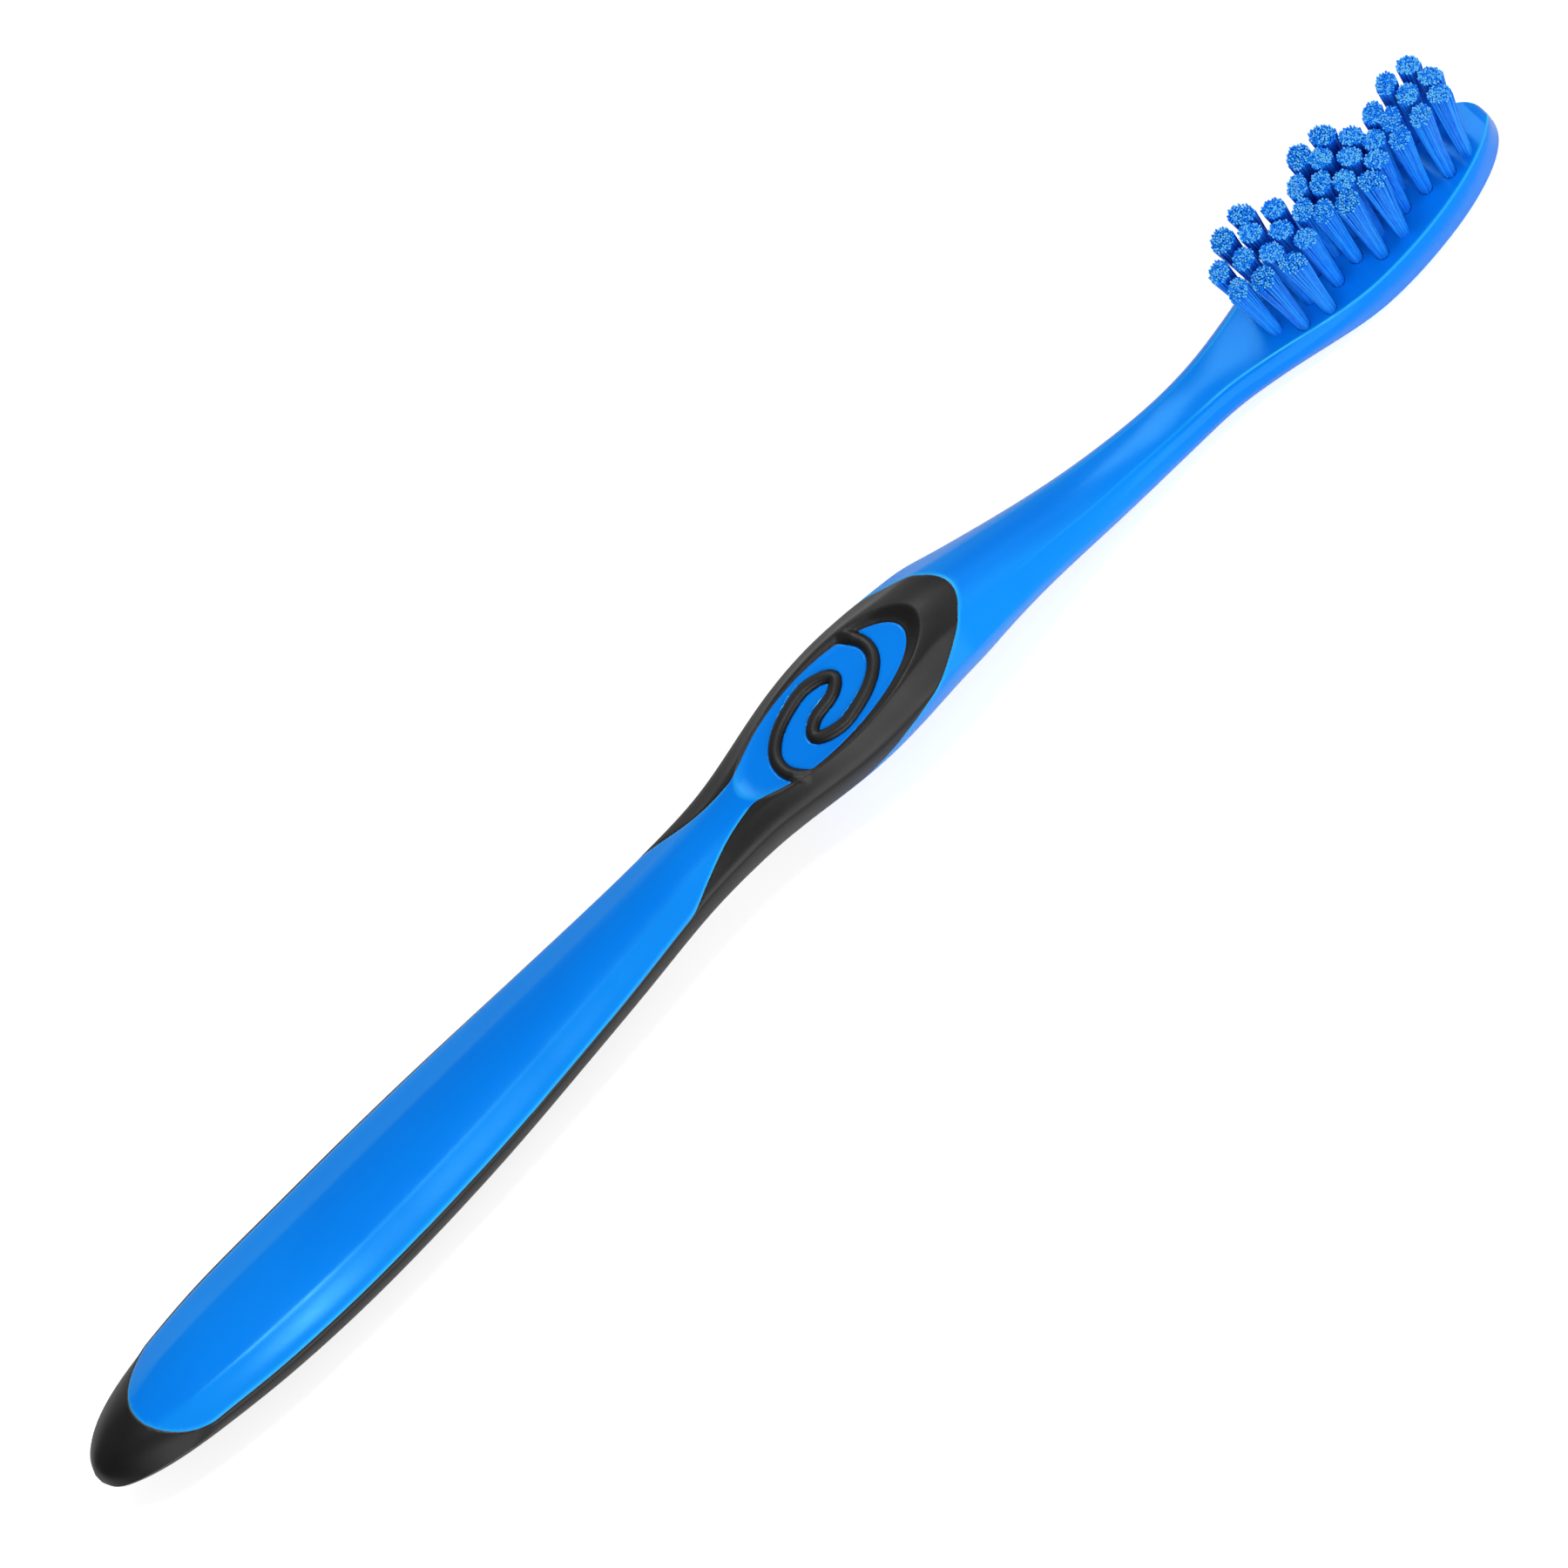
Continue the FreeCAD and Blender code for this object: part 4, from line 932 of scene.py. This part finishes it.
def tuft_tree():
    """The node tree that grows one tuft."""
    tree = bpy.data.node_groups.new("fanned_tuft", "GeometryNodeTree")
    tree.interface.new_socket("Geometry", in_out="OUTPUT", socket_type="NodeSocketGeometry")
    for kind, names in TUFT_INPUTS:
        for name in names:
            tree.interface.new_socket(name, in_out="INPUT", socket_type=f"NodeSocket{kind}")
    graph = Graph(tree)
    entry = tree.nodes.new("NodeGroupInput")
    given = {socket.name: Value(graph, socket) for socket in entry.outputs if socket.name}

    def vector(operation, *terms):
        return graph.node("ShaderNodeVectorMath", {"operation": operation}, dict(enumerate(terms)))

    def lengthened(direction, amount):
        return graph.node("ShaderNodeVectorMath", {"operation": "SCALE"}, {0: direction, "Scale": amount})

    def combined(x=0.0, y=0.0, z=0.0):
        return graph.node("ShaderNodeCombineXYZ", {}, {0: x, 1: y, 2: z})

    def random(low, high, salt):
        """A number for each point. Sockets 2 and 3 and output 1 are those for plain numbers."""
        sockets = {2: low, 3: high, "Seed": given["Seed"] + salt}
        return graph.node("FunctionNodeRandomValue", {"data_type": "FLOAT"}, sockets, 1)

    def changed(geometry, kind, settings=None, **sockets):
        """The geometry after one more node, which takes it at its first socket."""
        return graph.node(f"GeometryNode{kind}", settings, {0: geometry, **sockets})

    def stored(geometry, name, kind, value):
        settings = {"data_type": kind, "domain": "POINT"}
        return changed(geometry, "StoreNamedAttribute", settings, Name=name, Value=value)

    def recalled(name, kind):
        return graph.node("GeometryNodeInputNamedAttribute", {"data_type": kind}, {"Name": name})

    def followed(value, places):
        """What straight lines from place to place say for a value."""
        made = graph.node("ShaderNodeFloatCurve", {}, {"Value": value})
        mapping = made.socket.node.mapping
        points = mapping.curves[0].points
        points[0].location, points[1].location = places[0], places[-1]
        for place in places[1:-1]:
            points.new(*place)
        for point in points:
            point.handle_type = "VECTOR"
        mapping.update()
        return made

    index = graph.node("GeometryNodeInputIndex")
    turn = index * GOLDEN_TURN + given["Seed"] * SEED_TURN
    reach = ((index + 0.5) / given["Filaments"]) ** 0.5
    reach = reach.maths("MINIMUM", reach, OUTERMOST)
    direction = combined(turn.maths("COSINE", turn) * reach, turn.maths("SINE", turn) * reach)
    from_root = lengthened(direction, given["Root Radius"] - given["Filament Radius"])
    root = vector("ADD", given["Root"], from_root)
    sway = combined(random(-SWAY * MM, SWAY * MM, 2), random(-SWAY * MM, SWAY * MM, 3))
    from_tip = lengthened(direction, given["Tip Radius"] - given["Filament Radius"])
    tip = vector("ADD", vector("ADD", given["Root"], given["Lean"]), vector("ADD", from_tip, sway))
    wave_turn = (graph.axis(tip, "X") - given["First Crest"]) / given["Trim Pitch"] * (2 * math.pi)
    tip_level = given["Trim Level"] + given["Trim Wave"] * wave_turn.maths("COSINE", wave_turn)
    tip_level = tip_level - random(0, UNEVENNESS * MM, 4)
    tip = vector("ADD", vector("MULTIPLY", tip, (1, 1, 0)), combined(z=tip_level))

    points = graph.node("GeometryNodePoints", {}, {"Count": given["Filaments"]})
    points = stored(points, "root_place", "FLOAT_VECTOR", root)
    points = stored(points, "tip_place", "FLOAT_VECTOR", tip)
    points = stored(points, "filament_shade", "FLOAT", random(0, 1, 5))
    line = graph.node("GeometryNodeCurvePrimitiveLine", {}, {"End": (0, 0, 1)})
    line = changed(line, "ResampleCurve", Count=len(RING_LEVELS))
    lines = graph.node("GeometryNodeInstanceOnPoints", {}, {"Points": points, "Instance": line})
    lines = changed(lines, "RealizeInstances")

    step = graph.node("GeometryNodeSplineParameter")
    lines = stored(lines, "filament_reach", "FLOAT", followed(step, RING_LEVELS))
    lines = stored(lines, "thickness", "FLOAT", followed(step, RING_WIDTHS))
    start, finish = recalled("root_place", "FLOAT_VECTOR"), recalled("tip_place", "FLOAT_VECTOR")
    low, high = graph.axis(start, "Z"), graph.axis(finish, "Z")
    level = low + (high - low) * recalled("filament_reach", "FLOAT")
    heights = {"Value": level, "From Min": given["Mouth Level"], "From Max": high}
    out = graph.node("ShaderNodeMapRange", {}, heights)
    bend = out * (STRAIGHT_SHARE + out * (1 - STRAIGHT_SHARE))
    across = vector("ADD", start, lengthened(vector("SUBTRACT", finish, start), bend))
    place = vector("ADD", vector("MULTIPLY", across, (1, 1, 0)), combined(z=level))
    lines = changed(lines, "SetPosition", Position=place)
    lines = changed(lines, "SetCurveRadius", Radius=recalled("thickness", "FLOAT"))
    size = {"Resolution": FILAMENT_SIDES, "Radius": given["Filament Radius"]}
    ring = graph.node("GeometryNodeCurvePrimitiveCircle", {}, size)
    settled = {"Curve": lines, "Profile Curve": ring, "Fill Caps": True}
    shafts = changed(graph.node("GeometryNodeCurveToMesh", {}, settled), "SetShadeSmooth")
    for name in ("root_place", "tip_place", "thickness"):
        shafts = changed(shafts, "RemoveAttribute", Name=name)
    shafts = changed(shafts, "RealizeInstances")
    graph.node("NodeGroupOutput", {}, {0: changed(shafts, "SetMaterial", Material=given["Material"])})
    return tree


tree = tuft_tree()
print("tuft tree:", len(tree.nodes), "nodes")

# %% [markdown]
# The outer tufts lean outwards along the brush, those at the neck backwards and those at the tip forwards,
# and all lean a little to the middle. A modifier's inputs are set by the identifier of each socket before
# Blender looks at the object, then the result is taken as a plain mesh.

# %% Grow the tufts
TRIM_LEVEL, TRIM_WAVE, TRIM_PITCH, FIRST_CREST_X = 15.5, 0.9, 11.1, 68.25
LEAN_AT_NECK, LEAN_AT_TIP, LEAN_INWARDS = -1.2, 1.7, 0.1
ROOT_RADIUS, FILAMENT_RADIUS = 0.725, 0.121
OUTER_TIP, INNER_TIP, OUTER_SHARE = 1.44, 1.3, 0.5
FOOT_GAP, MOUTH_RISE, SEED_STEP = 0.03, 0.2, 10


def grow(name, place, seed):
    """One tuft as a plain mesh."""
    x, y = tuft_root(*place)
    inwards = -math.copysign(LEAN_INWARDS, y) if y else 0
    lean = LEAN_AT_NECK + (LEAN_AT_TIP - LEAN_AT_NECK) * place[0]
    lengths = {
        "Root": Vector((x, y, HOLE_FLOOR + FOOT_GAP)), "Lean": Vector((lean, inwards, 0)),
        "Root Radius": ROOT_RADIUS, "Tip Radius": OUTER_TIP if abs(place[1]) > OUTER_SHARE else INNER_TIP,
        "Filament Radius": FILAMENT_RADIUS, "Trim Level": TRIM_LEVEL, "Trim Wave": TRIM_WAVE,
        "Trim Pitch": TRIM_PITCH, "First Crest": FIRST_CREST_X, "Mouth Level": FACE_LEVEL + MOUTH_RISE,
    }
    inputs = {name: length * MM for name, length in lengths.items()}
    inputs.update({"Filaments": FILAMENTS, "Seed": seed, "Material": nylon})
    piece = add_object(name, bpy.data.meshes.new(name))
    modifier = piece.modifiers.new("tuft", "NODES")
    modifier.node_group = tree
    for socket in tree.interface.items_tree:
        if socket.in_out == "INPUT" and socket.name in inputs:
            modifier[socket.identifier] = inputs[socket.name]
    return applied(piece, name)


tufts = {}
for seed, (name, place) in enumerate(tuft_places.items()):
    tufts[name] = grow(f"bristles_{name}", place, seed * SEED_STEP)
print(len(tufts), "tufts have", sum(len(tuft.data.polygons) for tuft in tufts.values()), "faces")

# %% [markdown]
# ## Wire anchors
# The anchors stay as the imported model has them, hidden in the holes, and only get their metal: drawn brass
# wire with fine lines along it.

# %% Brass for the anchors
BRASS, TARNISHED_BRASS = (0.79, 0.56, 0.22), (0.55, 0.36, 0.14)


def drawn_brass(name):
    material, graph, place = new_material(name)
    lines = noise(graph, scaled(graph, place, (1, 1, 12)), scale=3000, detail=3)
    tarnish = graph.spread(noise(graph, place, scale=700, detail=3), 0.35, 0.7)
    show_principled(graph, {
        "Base Color": graph.mix(tarnish, BRASS, TARNISHED_BRASS), "Metallic": 1.0,
        "Roughness": graph.spread(lines, 0.3, 0.7, 0.22, 0.4),
        "Normal": relief(graph, lines, 0.3, 0.01 * MM),
    })
    return material


brass = drawn_brass("drawn_brass_wire")
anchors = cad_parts["tuft_anchors"]
anchors.data.materials.clear()
anchors.data.materials.append(brass)
print("anchors have", anchors.data.materials[0].name)

# %% [markdown]
# ## Table, backdrop and light
# The brush lies on a plain white table in soft studio light. The table is one wide sheet. It glows a
# little, but only for camera rays and, much less, for mirrored ones, so it reads as a white background and
# still holds the soft shadow under the brush. The world is a little brighter near the horizon and towards
# the head. Three lamps are wide and soft, and two small ones put thin lights on the dish's lip and the
# creases.

# %% Table
HALF_TABLE, CAMERA_GLOW, MIRROR_GLOW = 1.6, 0.58, 0.07
PAPER, LIGHTER_PAPER = (0.8, 0.8, 0.8), (0.82, 0.82, 0.82)

table_mesh = bpy.data.meshes.new("table")
ends = [(x * HALF_TABLE, y * HALF_TABLE, 0) for x, y in ((-1, -1), (1, -1), (1, 1), (-1, 1))]
table_mesh.from_pydata(ends, [], [(0, 1, 2, 3)])
table = add_object("table", table_mesh)
white, graph, place = new_material("white_table")
camera_ray = graph.node("ShaderNodeLightPath", output="Is Camera Ray")
mirrored_ray = graph.node("ShaderNodeLightPath", output="Is Glossy Ray")
seen = camera_ray * CAMERA_GLOW + mirrored_ray * MIRROR_GLOW
colour = graph.mix(noise(graph, place, scale=900, detail=3), PAPER, LIGHTER_PAPER)
paper = graph.node("ShaderNodeBsdfDiffuse", {}, {"Color": colour})
glow = graph.node("ShaderNodeEmission", {}, {"Color": (1, 1, 1, 1), "Strength": seen})
show(graph, graph.node("ShaderNodeAddShader", {}, {0: paper, 1: glow}))
table_mesh.materials.append(white)
print("table is", 2 * HALF_TABLE, "m wide")

# %% World and lamps
HORIZON_GLOW, OVERHEAD_GLOW, OVERHEAD = 0.41, 0.38, 0.7
EVEN_SHARE, HEADWARD_SHARE = 0.8, 0.5
# name, azimuth and elevation in degrees, distance and width in metres, power in watts
LAMPS = (
    ("low_front_softbox", -6, 26, 1.0, 1.0, 8.0),
    ("low_rear_softbox", 180, 16, 0.9, 0.6, 0.65),
    ("head_side_softbox", 100, 38, 0.9, 0.7, 0.9),
    ("lip_glint", 151, 55, 0.9, 0.3, 1.5),
    ("crease_glint", 0, 89, 1.0, 0.12, 1.6),
)

world = bpy.data.worlds.new("studio")
bpy.context.scene.world = world
world.use_nodes = True
world.node_tree.nodes.clear()
graph = Graph(world.node_tree)
direction = graph.node("ShaderNodeTexCoord", output="Generated")
glow = graph.spread(graph.axis(direction, "Z"), 0.0, OVERHEAD, HORIZON_GLOW, OVERHEAD_GLOW)
glow = glow * (EVEN_SHARE + HEADWARD_SHARE * graph.axis(direction, "X"))
background = graph.node("ShaderNodeBackground", {}, {"Color": (1, 1, 1, 1), "Strength": glow})
graph.node("ShaderNodeOutputWorld", {}, {"Surface": background})


def lamp(name, azimuth, elevation, distance, size, power):
    """A square soft light that faces the brush's middle."""
    data = bpy.data.lights.new(name, "AREA")
    data.shape, data.size, data.energy = "SQUARE", size, power
    item = add_object(name, data)
    a, e = math.radians(azimuth), math.radians(elevation)
    away = Vector((math.sin(a) * math.cos(e), -math.cos(a) * math.cos(e), math.sin(e)))
    item.location = away * distance
    item.rotation_mode = "QUATERNION"
    item.rotation_quaternion = away.to_track_quat("Z", "Y")


for settings in LAMPS:
    lamp(*settings)
print(len(LAMPS), "lamps")

# %% [markdown]
# ## Finish and place the pieces
# Every piece rides on the brush's one body and hides the imported solid it stands for, and the core and grip
# take their finishes.

# %% Ride, replace and finish
MOULDINGS = ((core, "handle_core", "core", plastic), (grip, "grip_overmould", "grip", rubber))
for piece, node, slot, finish in MOULDINGS:
    piece.data.materials.clear()
    piece.data.materials.append(finish)
    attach(piece, "root")
    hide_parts(node)
for name, piece in tufts.items():
    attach(piece, "root")
    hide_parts(f"tuft_{name}")
